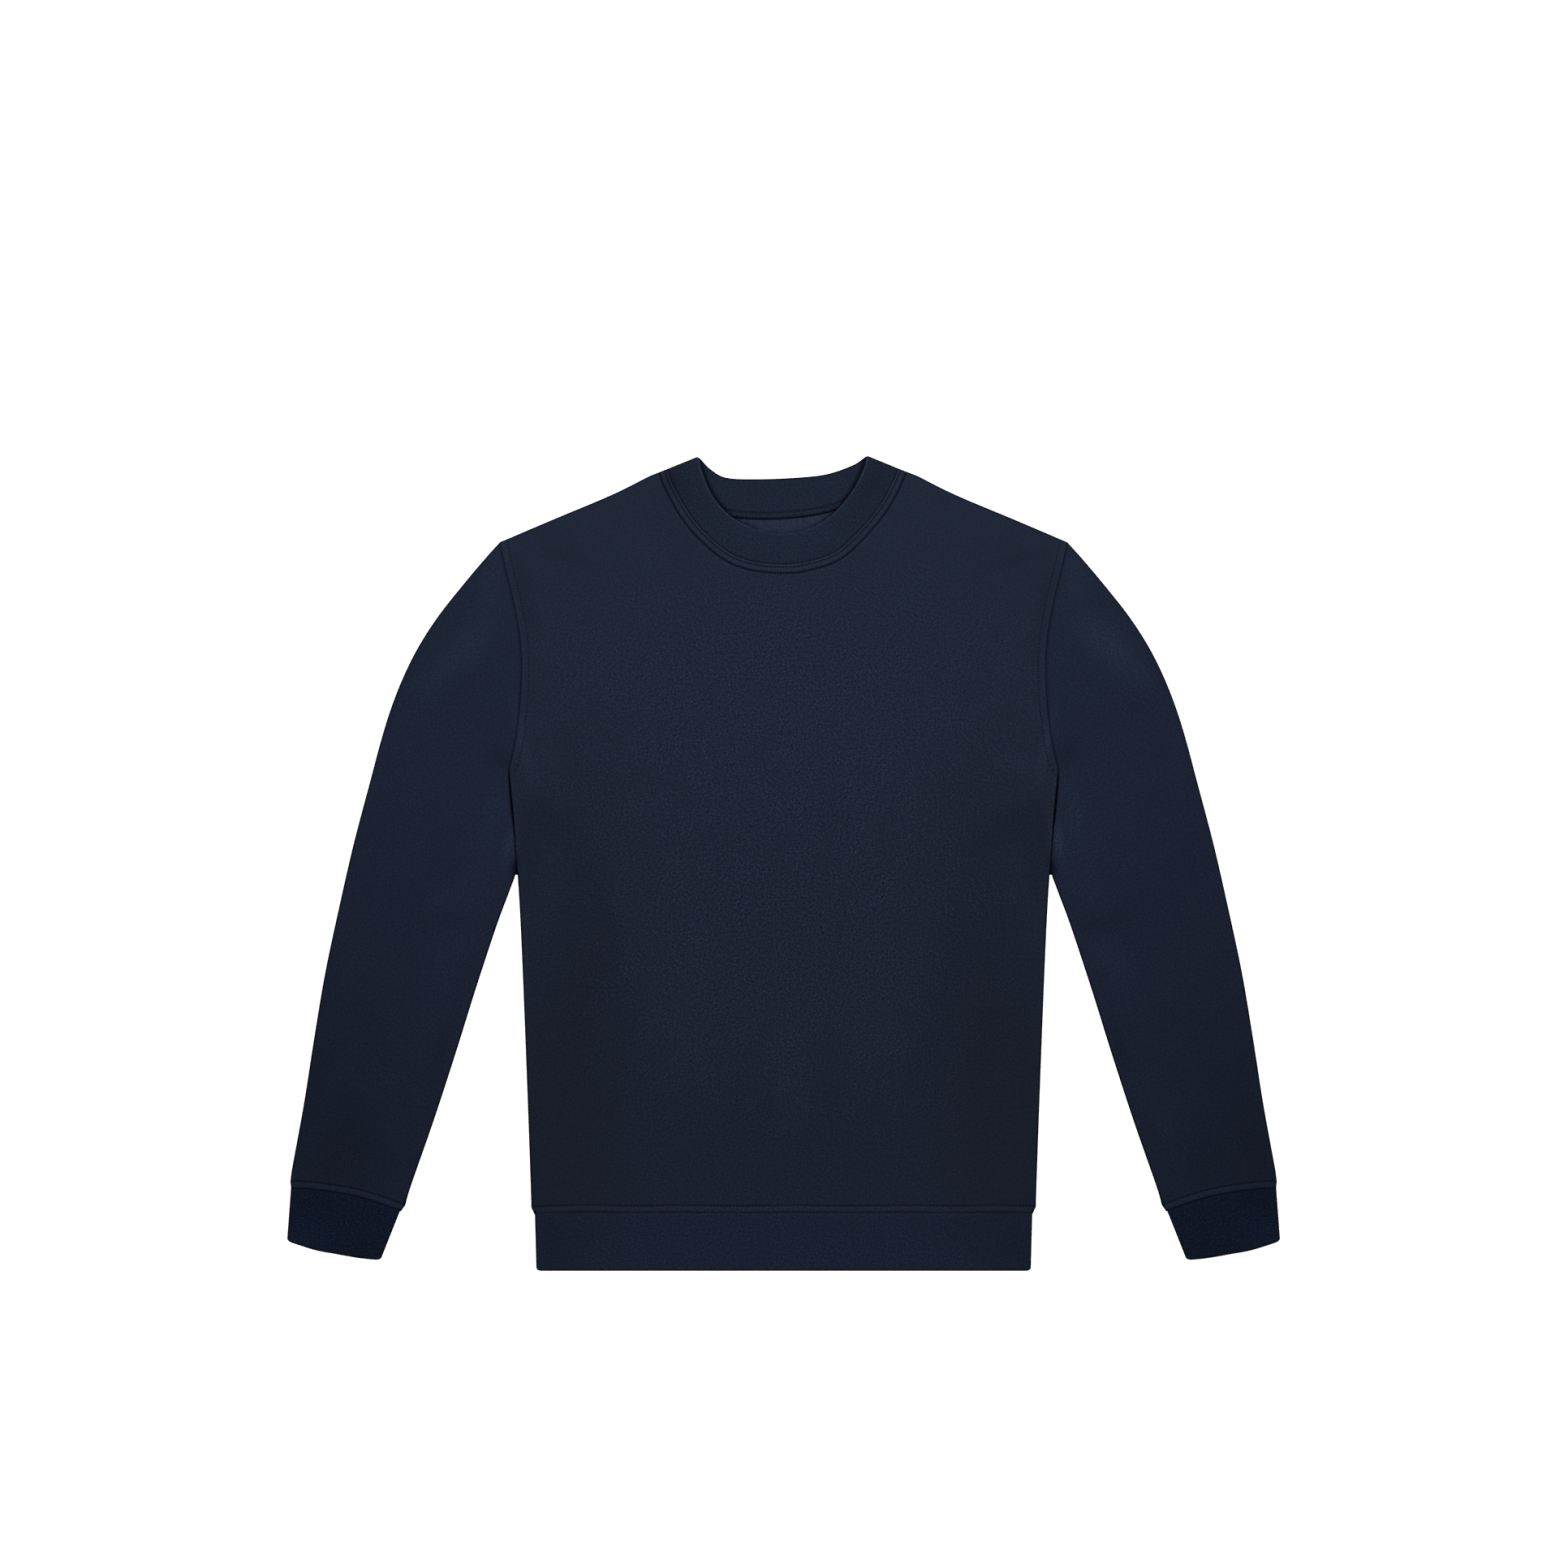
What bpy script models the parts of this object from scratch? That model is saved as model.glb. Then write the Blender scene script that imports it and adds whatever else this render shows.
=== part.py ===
"""Crewneck sweatshirt, laid flat on its back with its front up.

It lies on the plane z = 0, neck towards +Y, with the wearer's right at -X and the origin under the middle of
its outline. Lengths are in metres. Plan points are written as across, from the centre line, and up, from the
hem's edge.

Each piece that is cut and sewn is one solid, a wall of cloth between an outer and an inner grid of points.
Back halves lie in a lower layer and front halves in an upper one, parted by the layer gap. A fold joins the
layers of sleeves and ribs, and the side and shoulder seams run along the folds between front and back.
"""

import math
from collections import namedtuple

import bmesh
import bpy
import numpy as np

# Cloth
FLEECE_WALL = 0.0022
RIB_WALL = 0.0026  # rib folded double
SEAM_GAP = 0.0003  # between two pieces, along a seam
LAYER_GAP = 0.0003  # between the lower and the upper layer

# Driving sizes, up from the hem's edge and across from the centre line
GARMENT_HEIGHT = 0.7229  # to the points of the neckband
HEM_DEPTH = 0.0522
HEM_HALF_WIDTH = 0.2192
HEM_SEAM_HALF_WIDTH = 0.2206
BODY_HALF_WIDTH = 0.2236  # just above the hem band

# How far the upper layer stands off the lower one, and how soon it gets there
LOFT = 0.0018
LOFT_REACH = 0.075
CREASE_FADE = 0.020  # creases die out this near a fold
HEM_FADE = 0.035  # and this near the hem band and the cuffs

# Grid sizes
SIDE_ROWS = 17
ARMHOLE_POINTS = 10  # and so across a sleeve and a cuff
SHOULDER_POINTS = 6
NECK_FRONT_POINTS = 17
NECK_BACK_POINTS = 11
HEM_POINTS = 11
SLEEVE_SECTIONS = 26
UNDERARM_EASE = 1.6  # over 1: rows of the body and the sleeve bunch towards the underarm
ARMHOLE_EASE = 1.4  # and so do points along the armhole
CURVE_STEPS = 12  # between two points of a table
FOLD_ANGLES = (0, 45, 90)  # degrees, from a fold's edge to the flat of the cloth
INNER_STEPS = (0, 0.0008, 0.0022)  # the same columns inside, in from the wall's inner face
RIB_ROWS = (0, 0.34, 0.68)  # shares of a rib's depth, before the row at its folded edge
EDGE_NOSE = 0.0009  # how far a folded rib edge bulges past the faces of its wall

PlanPoint = namedtuple("PlanPoint", "across up")
Crease = namedtuple("Crease", "across up angle half_length half_width height")
Cloth = namedtuple("Cloth", "colour roughness")

# The body's edge from the underarm to the hem seam: its side fold
SIDE_FOLD = (
    PlanPoint(0.2434, 0.4439),
    PlanPoint(0.2382, 0.4050),
    PlanPoint(0.2362, 0.3600),
    PlanPoint(0.2340, 0.3200),
    PlanPoint(0.2308, 0.2488),
    PlanPoint(0.2264, 0.1336),
    PlanPoint(BODY_HALF_WIDTH, HEM_DEPTH),
)
# The armhole's seam from the underarm to the shoulder's point
ARMHOLE_SEAM = (
    PlanPoint(0.2434, 0.4439),
    PlanPoint(0.2368, 0.4744),
    PlanPoint(0.2331, 0.5100),
    PlanPoint(0.2324, 0.5460),
    PlanPoint(0.2348, 0.5780),
    PlanPoint(0.2412, 0.6116),
    PlanPoint(0.2516, 0.6462),
)
# The shoulder fold from the shoulder's point to just before the neckband, whose corner ends it
SHOULDER_FOLD = (
    PlanPoint(0.2516, 0.6462),
    PlanPoint(0.2042, 0.6664),
    PlanPoint(0.1528, 0.6880),
    PlanPoint(0.1182, 0.7052),
)
SLEEVE_OUTER_FOLD = (
    PlanPoint(0.2516, 0.6462),
    PlanPoint(0.2646, 0.6318),
    PlanPoint(0.2840, 0.6088),
    PlanPoint(0.3067, 0.5800),
    PlanPoint(0.3251, 0.5512),
    PlanPoint(0.3391, 0.5224),
    PlanPoint(0.3500, 0.4936),
    PlanPoint(0.3586, 0.4648),
    PlanPoint(0.3662, 0.4360),
    PlanPoint(0.3814, 0.3784),
    PlanPoint(0.3946, 0.3208),
    PlanPoint(0.4068, 0.2632),
    PlanPoint(0.4165, 0.2056),
    PlanPoint(0.4255, 0.1480),
    PlanPoint(0.4360, 0.0904),
    PlanPoint(0.4385, 0.0760),
)
# From the underarm beside the body's edge, then away from it down to the cuff
SLEEVE_INNER_FOLD = (
    PlanPoint(0.2438, 0.4436),
    PlanPoint(0.2428, 0.4223),
    PlanPoint(0.2411, 0.4064),
    PlanPoint(0.2386, 0.3798),
    PlanPoint(0.2382, 0.3500),
    PlanPoint(0.2434, 0.3352),
    PlanPoint(0.2542, 0.3064),
    PlanPoint(0.2732, 0.2488),
    PlanPoint(0.2912, 0.1912),
    PlanPoint(0.3100, 0.1336),
    PlanPoint(0.3301, 0.0760),
    PlanPoint(0.3374, 0.0544),
)
CUFF_SEAM = (
    PlanPoint(0.4385, 0.0736),
    PlanPoint(0.4180, 0.0724),
    PlanPoint(0.3856, 0.0677),
    PlanPoint(0.3600, 0.0606),
    PlanPoint(0.3374, 0.0525),
)
# The cuff's own ring at that seam, drawn in a little, and its folded edge
CUFF_TOP = (
    PlanPoint(0.4368, 0.0736),
    PlanPoint(0.4180, 0.0724),
    PlanPoint(0.3856, 0.0677),
    PlanPoint(0.3610, 0.0609),
    PlanPoint(0.3400, 0.0534),
)
CUFF_EDGE = (
    PlanPoint(0.4403, 0.0263),
    PlanPoint(0.4155, 0.0184),
    PlanPoint(0.3967, 0.0148),
    PlanPoint(0.3758, 0.0112),
    PlanPoint(0.3575, 0.0094),
)
# The neckband's front and back seams and folded edges, from the wearer's right to the left
NECK_FRONT_SEAM = (
    PlanPoint(-0.1030, 0.7111),
    PlanPoint(-0.0989, 0.6990),
    PlanPoint(-0.0914, 0.6846),
    PlanPoint(-0.0814, 0.6684),
    PlanPoint(-0.0671, 0.6522),
    PlanPoint(-0.0472, 0.6364),
    PlanPoint(-0.0266, 0.6289),
    PlanPoint(-0.0004, 0.6264),
    PlanPoint(0.0215, 0.6289),
    PlanPoint(0.0452, 0.6371),
    PlanPoint(0.0630, 0.6522),
    PlanPoint(0.0777, 0.6687),
    PlanPoint(0.0886, 0.6840),
    PlanPoint(0.0973, 0.7009),
    PlanPoint(0.1014, 0.7116),
)
NECK_FRONT_EDGE = (
    PlanPoint(-0.0757, 0.7221),
    PlanPoint(-0.0709, 0.7045),
    PlanPoint(-0.0617, 0.6852),
    PlanPoint(-0.0457, 0.6684),
    PlanPoint(-0.0239, 0.6575),
    PlanPoint(-0.0004, 0.6536),
    PlanPoint(0.0232, 0.6583),
    PlanPoint(0.0433, 0.6709),
    PlanPoint(0.0601, 0.6903),
    PlanPoint(0.0711, 0.7112),
    PlanPoint(0.0738, 0.7229),
)
NECK_BACK_SEAM = (
    PlanPoint(-0.1030, 0.7111),
    PlanPoint(-0.0880, 0.6935),
    PlanPoint(-0.0690, 0.6812),
    PlanPoint(-0.0423, 0.6739),
    PlanPoint(-0.0088, 0.6725),
    PlanPoint(0.0248, 0.6757),
    PlanPoint(0.0500, 0.6822),
    PlanPoint(0.0800, 0.6965),
    PlanPoint(0.1014, 0.7116),
)
NECK_BACK_EDGE = (
    PlanPoint(-0.0757, 0.7221),
    PlanPoint(-0.0642, 0.7104),
    PlanPoint(-0.0500, 0.7032),
    PlanPoint(-0.0222, 0.7021),
    PlanPoint(0.0114, 0.7034),
    PlanPoint(0.0383, 0.7065),
    PlanPoint(0.0618, 0.7146),
    PlanPoint(0.0738, 0.7229),
)
# The largest soft folds of the upper layer. The angle is the ridge's own, up from straight across.
CREASES = (
    Crease(-0.212, 0.425, 22, 0.045, 0.018, 0.0014),
    Crease(0.210, 0.421, -25, 0.050, 0.018, 0.0013),
    Crease(-0.200, 0.630, -18, 0.045, 0.017, 0.0009),
    Crease(0.204, 0.627, 20, 0.040, 0.017, 0.0010),
    Crease(-0.283, 0.553, 58, 0.032, 0.018, 0.0013),
    Crease(0.281, 0.549, -55, 0.036, 0.018, 0.0012),
    Crease(-0.272, 0.392, 72, 0.045, 0.020, 0.0013),
    Crease(0.276, 0.386, -70, 0.042, 0.020, 0.0014),
    Crease(-0.300, 0.305, 18, 0.038, 0.018, 0.0015),
    Crease(0.303, 0.300, -20, 0.036, 0.018, 0.0014),
    Crease(-0.318, 0.258, 40, 0.040, 0.020, 0.0010),
    Crease(0.322, 0.250, -36, 0.040, 0.020, 0.0011),
    Crease(-0.368, 0.170, 75, 0.050, 0.020, 0.0009),
    Crease(0.372, 0.180, -78, 0.055, 0.020, 0.0008),
    Crease(-0.150, 0.120, 84, 0.060, 0.026, 0.0008),
    Crease(0.010, 0.105, 93, 0.050, 0.028, 0.0007),
    Crease(0.165, 0.130, 99, 0.065, 0.026, 0.0008),
)

BODY_CLOTH = Cloth((0.0144, 0.0203, 0.0356), 0.92)
SLEEVE_CLOTH = Cloth((0.0130, 0.0176, 0.0319), 0.92)
BAND_CLOTH = Cloth((0.0123, 0.0176, 0.0319), 0.88)
CUFF_CLOTH = Cloth((0.0056, 0.0086, 0.0185), 0.88)


# Curves in plan


def spaced(line, shares):
    """Gives the points of a polyline at shares of its length."""
    steps = np.linalg.norm(np.diff(line, axis=0), axis=1)
    run = np.concatenate([[0], np.cumsum(steps)])
    wanted = np.asarray(shares) * run[-1]
    return np.stack([np.interp(wanted, run, line[:, axis]) for axis in (0, 1)], axis=1)


def smooth_curve(points, count, ease=1):
    """Gives count points on a smooth curve through a table's points, evenly spaced where ease is 1."""
    knots = np.array(points)
    padded = np.vstack([2 * knots[0] - knots[1], knots, 2 * knots[-1] - knots[-2]])
    share = np.linspace(0, 1, CURVE_STEPS, endpoint=False)[:, None]
    spans = []
    for before, start, end, after in zip(padded, padded[1:], padded[2:], padded[3:]):
        slope = (end - before) * share
        bend = (2 * before - 5 * start + 4 * end - after) * share**2
        turn = (3 * start - before - 3 * end + after) * share**3
        spans.append(start + 0.5 * (slope + bend + turn))
    dense = np.vstack(spans + [knots[-1:]])
    return spaced(dense, np.linspace(0, 1, count) ** ease)


def mirrored(line, side):
    """Puts a line drawn on the wearer's left, where across is positive, on the given side."""
    return line * np.array([side, 1])


def moved_left(line, distance):
    """Moves a polyline sideways, to the left of the way it runs."""
    along = np.gradient(line, axis=0)
    along /= np.linalg.norm(along, axis=1)[:, None]
    return line + distance * np.stack([-along[:, 1], along[:, 0]], axis=1)


def with_rims(line, insets):
    """Replaces each end of a polyline by points at the given distances in from it."""
    head = (line[1] - line[0]) / np.linalg.norm(line[1] - line[0])
    tail = (line[-2] - line[-1]) / np.linalg.norm(line[-2] - line[-1])
    first = [line[0] + inset * head for inset in insets]
    last = [line[-1] + inset * tail for inset in reversed(insets)]
    return np.vstack([first, line[1:-1], last])


def distance_to(lines, points):
    """Gives each point's distance to the nearest of some polylines."""
    nearest = np.full(points.shape[:-1], np.inf)
    for line in lines:
        for start, end in zip(line, line[1:]):
            edge = end - start
            share = np.clip((points - start) @ edge / (edge @ edge), 0, 1)
            gap = points - start - share[..., None] * edge
            nearest = np.minimum(nearest, np.linalg.norm(gap, axis=-1))
    return nearest


# The garment's lines, each found once. RIGHT and LEFT are the wearer's.

RIGHT, LEFT = -1, 1
SIDES = {"right": RIGHT, "left": LEFT}
NECK_POINT = {RIGHT: NECK_FRONT_SEAM[0], LEFT: NECK_FRONT_SEAM[-1]}
NECK_TIP = {RIGHT: NECK_FRONT_EDGE[0], LEFT: NECK_FRONT_EDGE[-1]}


def shoulder_line(side):
    """The shoulder fold, from the shoulder's point to the neckband."""
    line = mirrored(smooth_curve(SHOULDER_FOLD, SHOULDER_POINTS), side)
    return np.vstack([line, NECK_POINT[side]])


def fold_lines():
    """Every line along which the lower and the upper layer meet."""
    lines = []
    for side in (RIGHT, LEFT):
        lines.append(mirrored(smooth_curve(SIDE_FOLD, SIDE_ROWS, UNDERARM_EASE), side))
        lines.append(mirrored(smooth_curve(SLEEVE_OUTER_FOLD, SLEEVE_SECTIONS), side))
        lines.append(mirrored(smooth_curve(SLEEVE_INNER_FOLD, SLEEVE_SECTIONS, UNDERARM_EASE), side))
        lines.append(mirrored(np.array([CUFF_TOP[0], CUFF_EDGE[0]]), side))
        lines.append(mirrored(np.array([CUFF_TOP[-1], CUFF_EDGE[-1]]), side))
        lines.append(mirrored(np.array([(HEM_SEAM_HALF_WIDTH, HEM_DEPTH), (HEM_HALF_WIDTH, 0)]), side))
        lines.append(shoulder_line(side))
        lines.append(np.array([NECK_POINT[side], NECK_TIP[side]]))
    return lines


FOLDS = fold_lines()


# Heights


def eased(share):
    """A smooth step from 0 to 1."""
    share = np.clip(share, 0, 1)
    return share * share * (3 - 2 * share)


def lift(points, fold_distance):
    """How far the upper layer stands above its lowest place: a slight loft, and the creases."""
    height = LOFT * eased(fold_distance / LOFT_REACH)
    for crease in CREASES:
        angle = math.radians(crease.angle)
        away = points - np.array([crease.across, crease.up])
        along = (away @ np.array([math.cos(angle), math.sin(angle)])) / crease.half_length
        beside = (away @ np.array([-math.sin(angle), math.cos(angle)])) / crease.half_width
        ridge = crease.height * np.exp(-(along**2) - beside**2)
        height = height + ridge * eased(fold_distance / CREASE_FADE)
    across = np.abs(points[..., 0])
    seam_across, seam_up = np.array(CUFF_SEAM)[::-1].T
    rib_up = np.where(across < seam_across[0], HEM_DEPTH / 2, np.interp(across, seam_across, seam_up))
    return height * eased((points[..., 1] - rib_up) / HEM_FADE)


def fold_radius(wall):
    """The outer radius of a fold, which is also the height of the gap between the layers."""
    return wall + LAYER_GAP / 2


def outer_heights(points, wall, upper):
    """Heights of a layer's outer face: flat, and rounded down or up to the folds."""
    radius = fold_radius(wall)
    distance = distance_to(FOLDS, points)
    bend = np.sqrt(radius**2 - (radius - np.minimum(distance, radius)) ** 2)
    return radius + bend + lift(points, distance) if upper else radius - bend


def inner_heights(points, wall, upper):
    """Heights of a layer's inner face, beside the gap."""
    radius = fold_radius(wall)
    if upper:
        return radius + LAYER_GAP / 2 + lift(points, distance_to(FOLDS, points))
    return np.full(points.shape[:-1], radius - LAYER_GAP / 2)


def placed(points, heights):
    """Plan points and heights as row coordinates."""
    return np.dstack([points[..., 0], points[..., 1] - GARMENT_HEIGHT / 2, heights])


def fold_insets(wall):
    """Distances in from a fold, of the columns of the outer and of the inner face."""
    radius = fold_radius(wall)
    outer = [radius * (1 - math.cos(math.radians(angle))) for angle in FOLD_ANGLES]
    inner = [wall + step for step in INNER_STEPS]
    return outer, inner


# Solids


def cloth_material(name, cloth):
    material = bpy.data.materials.new(name)
    material.use_nodes = True
    shader = material.node_tree.nodes["Principled BSDF"]
    shader.inputs["Base Color"].default_value = (*cloth.colour, 1)
    shader.inputs["Roughness"].default_value = cloth.roughness
    shader.inputs["Metallic"].default_value = 0
    return material


def add_faces(mesh, first_row, second_row, ring):
    """Joins two rows of vertices with quads, and their ends as well where they are rings."""
    count = len(first_row)
    for start in range(count if ring else count - 1):
        end = (start + 1) % count
        mesh.faces.new((first_row[start], first_row[end], second_row[end], second_row[start]))


def wall_solid(name, outer, inner, cloth, ring, nose=None):
    """One closed wall between two grids. A nose is a row that rounds the rim at the last row."""
    mesh = bmesh.new()
    outer_rows = [[mesh.verts.new(point) for point in row] for row in outer]
    inner_rows = [[mesh.verts.new(point) for point in row] for row in inner]
    for rows in (outer_rows, inner_rows):
        for first_row, second_row in zip(rows, rows[1:]):
            add_faces(mesh, first_row, second_row, ring)
    add_faces(mesh, outer_rows[0], inner_rows[0], ring)
    last_rim = [outer_rows[-1], inner_rows[-1]]
    if nose is not None:
        last_rim.insert(1, [mesh.verts.new(point) for point in nose])
    for first_row, second_row in zip(last_rim, last_rim[1:]):
        add_faces(mesh, first_row, second_row, ring)
    if not ring:
        for column in (0, -1):
            outer_side = [row[column] for row in outer_rows]
            inner_side = [row[column] for row in inner_rows]
            add_faces(mesh, outer_side, inner_side, False)
    bmesh.ops.recalc_face_normals(mesh, faces=mesh.faces)
    data = bpy.data.meshes.new(name)
    mesh.to_mesh(data)
    mesh.free()
    data.shade_smooth()
    data.set_sharp_from_angle(angle=math.radians(50))
    data.materials.append(cloth_material(name, cloth))
    piece = bpy.data.objects.new(name, data)
    bpy.context.scene.collection.objects.link(piece)
    return piece


def ring_points(upper_line, lower_line, wall):
    """The outer and inner ring of a flattened tube, from its plan lines between two folds."""
    outer_insets, inner_insets = fold_insets(wall)
    rings = []
    for insets, heights in ((outer_insets, outer_heights), (inner_insets, inner_heights)):
        upper = with_rims(upper_line, insets)
        lower = with_rims(lower_line, insets)
        upper[[0, -1]] = lower[[0, -1]]
        lower = lower[1:-1]
        upper_z = heights(upper, wall, True)
        upper_z[[0, -1]] = fold_radius(wall)
        lower_z = heights(lower, wall, False)
        rings.append((np.vstack([upper, lower[::-1]]), np.concatenate([upper_z, lower_z[::-1]])))
    return rings


def flat_tube(name, upper_lines, lower_lines, wall, cloth, nose_lines=None):
    """A flattened tube through plan lines that run from fold to fold, for both layers."""
    rings = [ring_points(upper, lower, wall) for upper, lower in zip(upper_lines, lower_lines)]
    outer, inner = (
        placed(np.array([ring[face][0] for ring in rings]), np.array([ring[face][1] for ring in rings]))
        for face in (0, 1)
    )
    nose = None
    if nose_lines is not None:
        plan, outer_z = ring_points(*nose_lines, wall)[0]
        middle = (outer_z + inner[-1, :, 2]) / 2
        nose = placed(plan[None], middle[None])[0]
    return wall_solid(name, outer, inner, cloth, ring=True, nose=nose)


def rib_ring(name, upper_seam, upper_edge, lower_seam, lower_edge, cloth):
    """A ring of rib, folded double, between its seam and its folded edge."""
    depth = np.linalg.norm(upper_edge[len(upper_edge) // 2] - upper_seam[len(upper_seam) // 2])
    shares = (*RIB_ROWS, 1 - EDGE_NOSE / depth)
    uppers = [upper_seam + share * (upper_edge - upper_seam) for share in shares]
    lowers = [lower_seam + share * (lower_edge - lower_seam) for share in shares]
    return flat_tube(name, uppers, lowers, RIB_WALL, cloth, nose_lines=(upper_edge, lower_edge))


# Front and back


def neck_seam(table, count, towards_band):
    """The neckline's seam, from the wearer's right, half a gap to the band's or to the panel's side."""
    half_gap = SEAM_GAP / 2 if towards_band else -SEAM_GAP / 2
    line = moved_left(smooth_curve(table, count), half_gap)
    for place, side in ((0, RIGHT), (-1, LEFT)):
        fold = np.array(NECK_TIP[side]) - np.array(NECK_POINT[side])
        line[place] = NECK_POINT[side] + half_gap * fold / np.linalg.norm(fold)
    return line


def panel_edge():
    """A panel's edge on the wearer's left: the side fold up from the hem, then the armhole's cut."""
    side = smooth_curve(SIDE_FOLD, SIDE_ROWS, UNDERARM_EASE)[::-1]
    armhole = moved_left(smooth_curve(ARMHOLE_SEAM, ARMHOLE_POINTS, ARMHOLE_EASE), SEAM_GAP / 2)
    edge = np.vstack([side[:-1], armhole])
    edge[0, 1] = HEM_DEPTH + SEAM_GAP / 2
    return edge


def panel_top(edge, neck_table, neck_points):
    """A panel's top from the wearer's right to the left: shoulder fold, neckline's cut, shoulder fold."""
    neckline = neck_seam(neck_table, neck_points, towards_band=False)
    top = np.vstack([shoulder_line(RIGHT)[:-1], neckline, shoulder_line(LEFT)[:-1][::-1]])
    top[[0, -1], 0] = (-edge[-1, 0], edge[-1, 0])
    return top


def panel_plan(edge, top, rim_insets, cut_insets):
    """Plan points of a panel by row and column.

    Columns run up from the hem. The first and last ones, and the top rows, are rims: they lie at rim_insets
    from a fold, or at cut_insets from a cut.
    """
    rims = len(cut_insets)
    top = with_rims(top, cut_insets)
    last_shoulder_column = SHOULDER_POINTS + rims - 1
    hem, shoulder = edge[0, 1], edge[-1, 1]
    run, rise = np.abs(np.subtract(SHOULDER_FOLD[-1], SHOULDER_FOLD[0]))
    upright = math.hypot(run, rise) / run  # from a distance square to the shoulder fold to one straight up
    body_rows = len(edge) - 1
    plan = np.empty((body_rows + rims, len(top), 2))
    for row, column in np.ndindex(plan.shape[:2]):
        from_edge = min(column, len(top) - 1 - column)
        from_top = len(plan) - 1 - row
        height = top[column, 1]
        if from_top < rims:
            insets = rim_insets if from_edge <= last_shoulder_column else cut_insets
            up = height - insets[from_top] * upright
        else:
            up = hem + (edge[row, 1] - hem) / (shoulder - hem) * (height - hem)
        half_width = np.interp(up, edge[:, 1], edge[:, 0])
        if from_edge < rims:
            insets = rim_insets if row < SIDE_ROWS else cut_insets
            across = math.copysign(half_width - insets[from_edge], top[column, 0])
        else:
            across = top[column, 0] * half_width / np.interp(height, edge[:, 1], edge[:, 0])
        plan[row, column] = across, up
    return plan


def panel(name, upper, neck_table, neck_points, cloth):
    """The front or the back, with its hem, armholes and neckline cut and its other edges on the folds."""
    edge = panel_edge()
    top = panel_top(edge, neck_table, neck_points)
    outer_insets, inner_insets = fold_insets(FLEECE_WALL)
    outer_plan = panel_plan(edge, top, outer_insets, outer_insets)
    inner_plan = panel_plan(edge, top, inner_insets, outer_insets)
    outer_z = outer_heights(outer_plan, FLEECE_WALL, upper)
    inner_z = inner_heights(inner_plan, FLEECE_WALL, upper)
    seam_height = fold_radius(FLEECE_WALL) + math.copysign(LAYER_GAP / 2, 1 if upper else -1)
    outer_z = np.maximum(outer_z, seam_height) if upper else np.minimum(outer_z, seam_height)
    return wall_solid(name, placed(outer_plan, outer_z), placed(inner_plan, inner_z), cloth, ring=False)


# Sleeves and ribs


def sleeve_lines(side):
    """Plan lines across a sleeve, from its outer to its inner fold, armhole first and cuff seam last."""
    gap = SEAM_GAP / 2
    armhole = moved_left(smooth_curve(ARMHOLE_SEAM, ARMHOLE_POINTS, ARMHOLE_EASE), -gap)[::-1]
    cuff_seam = smooth_curve(CUFF_SEAM, ARMHOLE_POINTS) + np.array([0, gap])
    outer = smooth_curve(SLEEVE_OUTER_FOLD, SLEEVE_SECTIONS)
    inner = smooth_curve(SLEEVE_INNER_FOLD, SLEEVE_SECTIONS, UNDERARM_EASE)
    outer[0], inner[0] = armhole[0], armhole[-1]
    outer[-1], inner[-1] = cuff_seam[0], cuff_seam[-1]
    across = np.linspace(0, 1, ARMHOLE_POINTS)[:, None]
    armhole_bow = armhole - (armhole[0] + across * (armhole[-1] - armhole[0]))
    cuff_bow = cuff_seam - (cuff_seam[0] + across * (cuff_seam[-1] - cuff_seam[0]))
    lines = []
    for share, start, end in zip(np.linspace(0, 1, SLEEVE_SECTIONS), outer, inner):
        straight = start + across * (end - start)
        lines.append(mirrored(straight + (1 - share) ** 2 * armhole_bow + share**2 * cuff_bow, side))
    return lines


def sleeve(name, side):
    lines = sleeve_lines(side)
    return flat_tube(name, lines, lines, FLEECE_WALL, SLEEVE_CLOTH)


def cuff(name, side):
    seam = smooth_curve(CUFF_TOP, ARMHOLE_POINTS) - np.array([0, SEAM_GAP / 2])
    edge = smooth_curve(CUFF_EDGE, ARMHOLE_POINTS)
    seam, edge = mirrored(seam, side), mirrored(edge, side)
    return rib_ring(name, seam, edge, seam, edge, CUFF_CLOTH)


def hem_band():
    share = np.linspace(-1, 1, HEM_POINTS)
    seam = np.stack([share * HEM_SEAM_HALF_WIDTH, np.full(HEM_POINTS, HEM_DEPTH - SEAM_GAP / 2)], axis=1)
    edge = np.stack([share * HEM_HALF_WIDTH, np.zeros(HEM_POINTS)], axis=1)
    return rib_ring("hem_band", seam, edge, seam, edge, BAND_CLOTH)


def neckband():
    front_seam = neck_seam(NECK_FRONT_SEAM, NECK_FRONT_POINTS, towards_band=True)
    back_seam = neck_seam(NECK_BACK_SEAM, NECK_BACK_POINTS, towards_band=True)
    front_edge = smooth_curve(NECK_FRONT_EDGE, NECK_FRONT_POINTS)
    back_edge = smooth_curve(NECK_BACK_EDGE, NECK_BACK_POINTS)
    return rib_ring("neckband", front_seam, front_edge, back_seam, back_edge, BAND_CLOTH)


def main():
    for old in list(bpy.data.objects):
        bpy.data.objects.remove(old, do_unlink=True)
    panel("front_panel", True, NECK_FRONT_SEAM, NECK_FRONT_POINTS, BODY_CLOTH)
    panel("back_panel", False, NECK_BACK_SEAM, NECK_BACK_POINTS, BODY_CLOTH)
    for word, side in SIDES.items():
        sleeve(f"sleeve_{word}", side)
        cuff(f"cuff_{word}", side)
    hem_band()
    neckband()


main()
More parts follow.
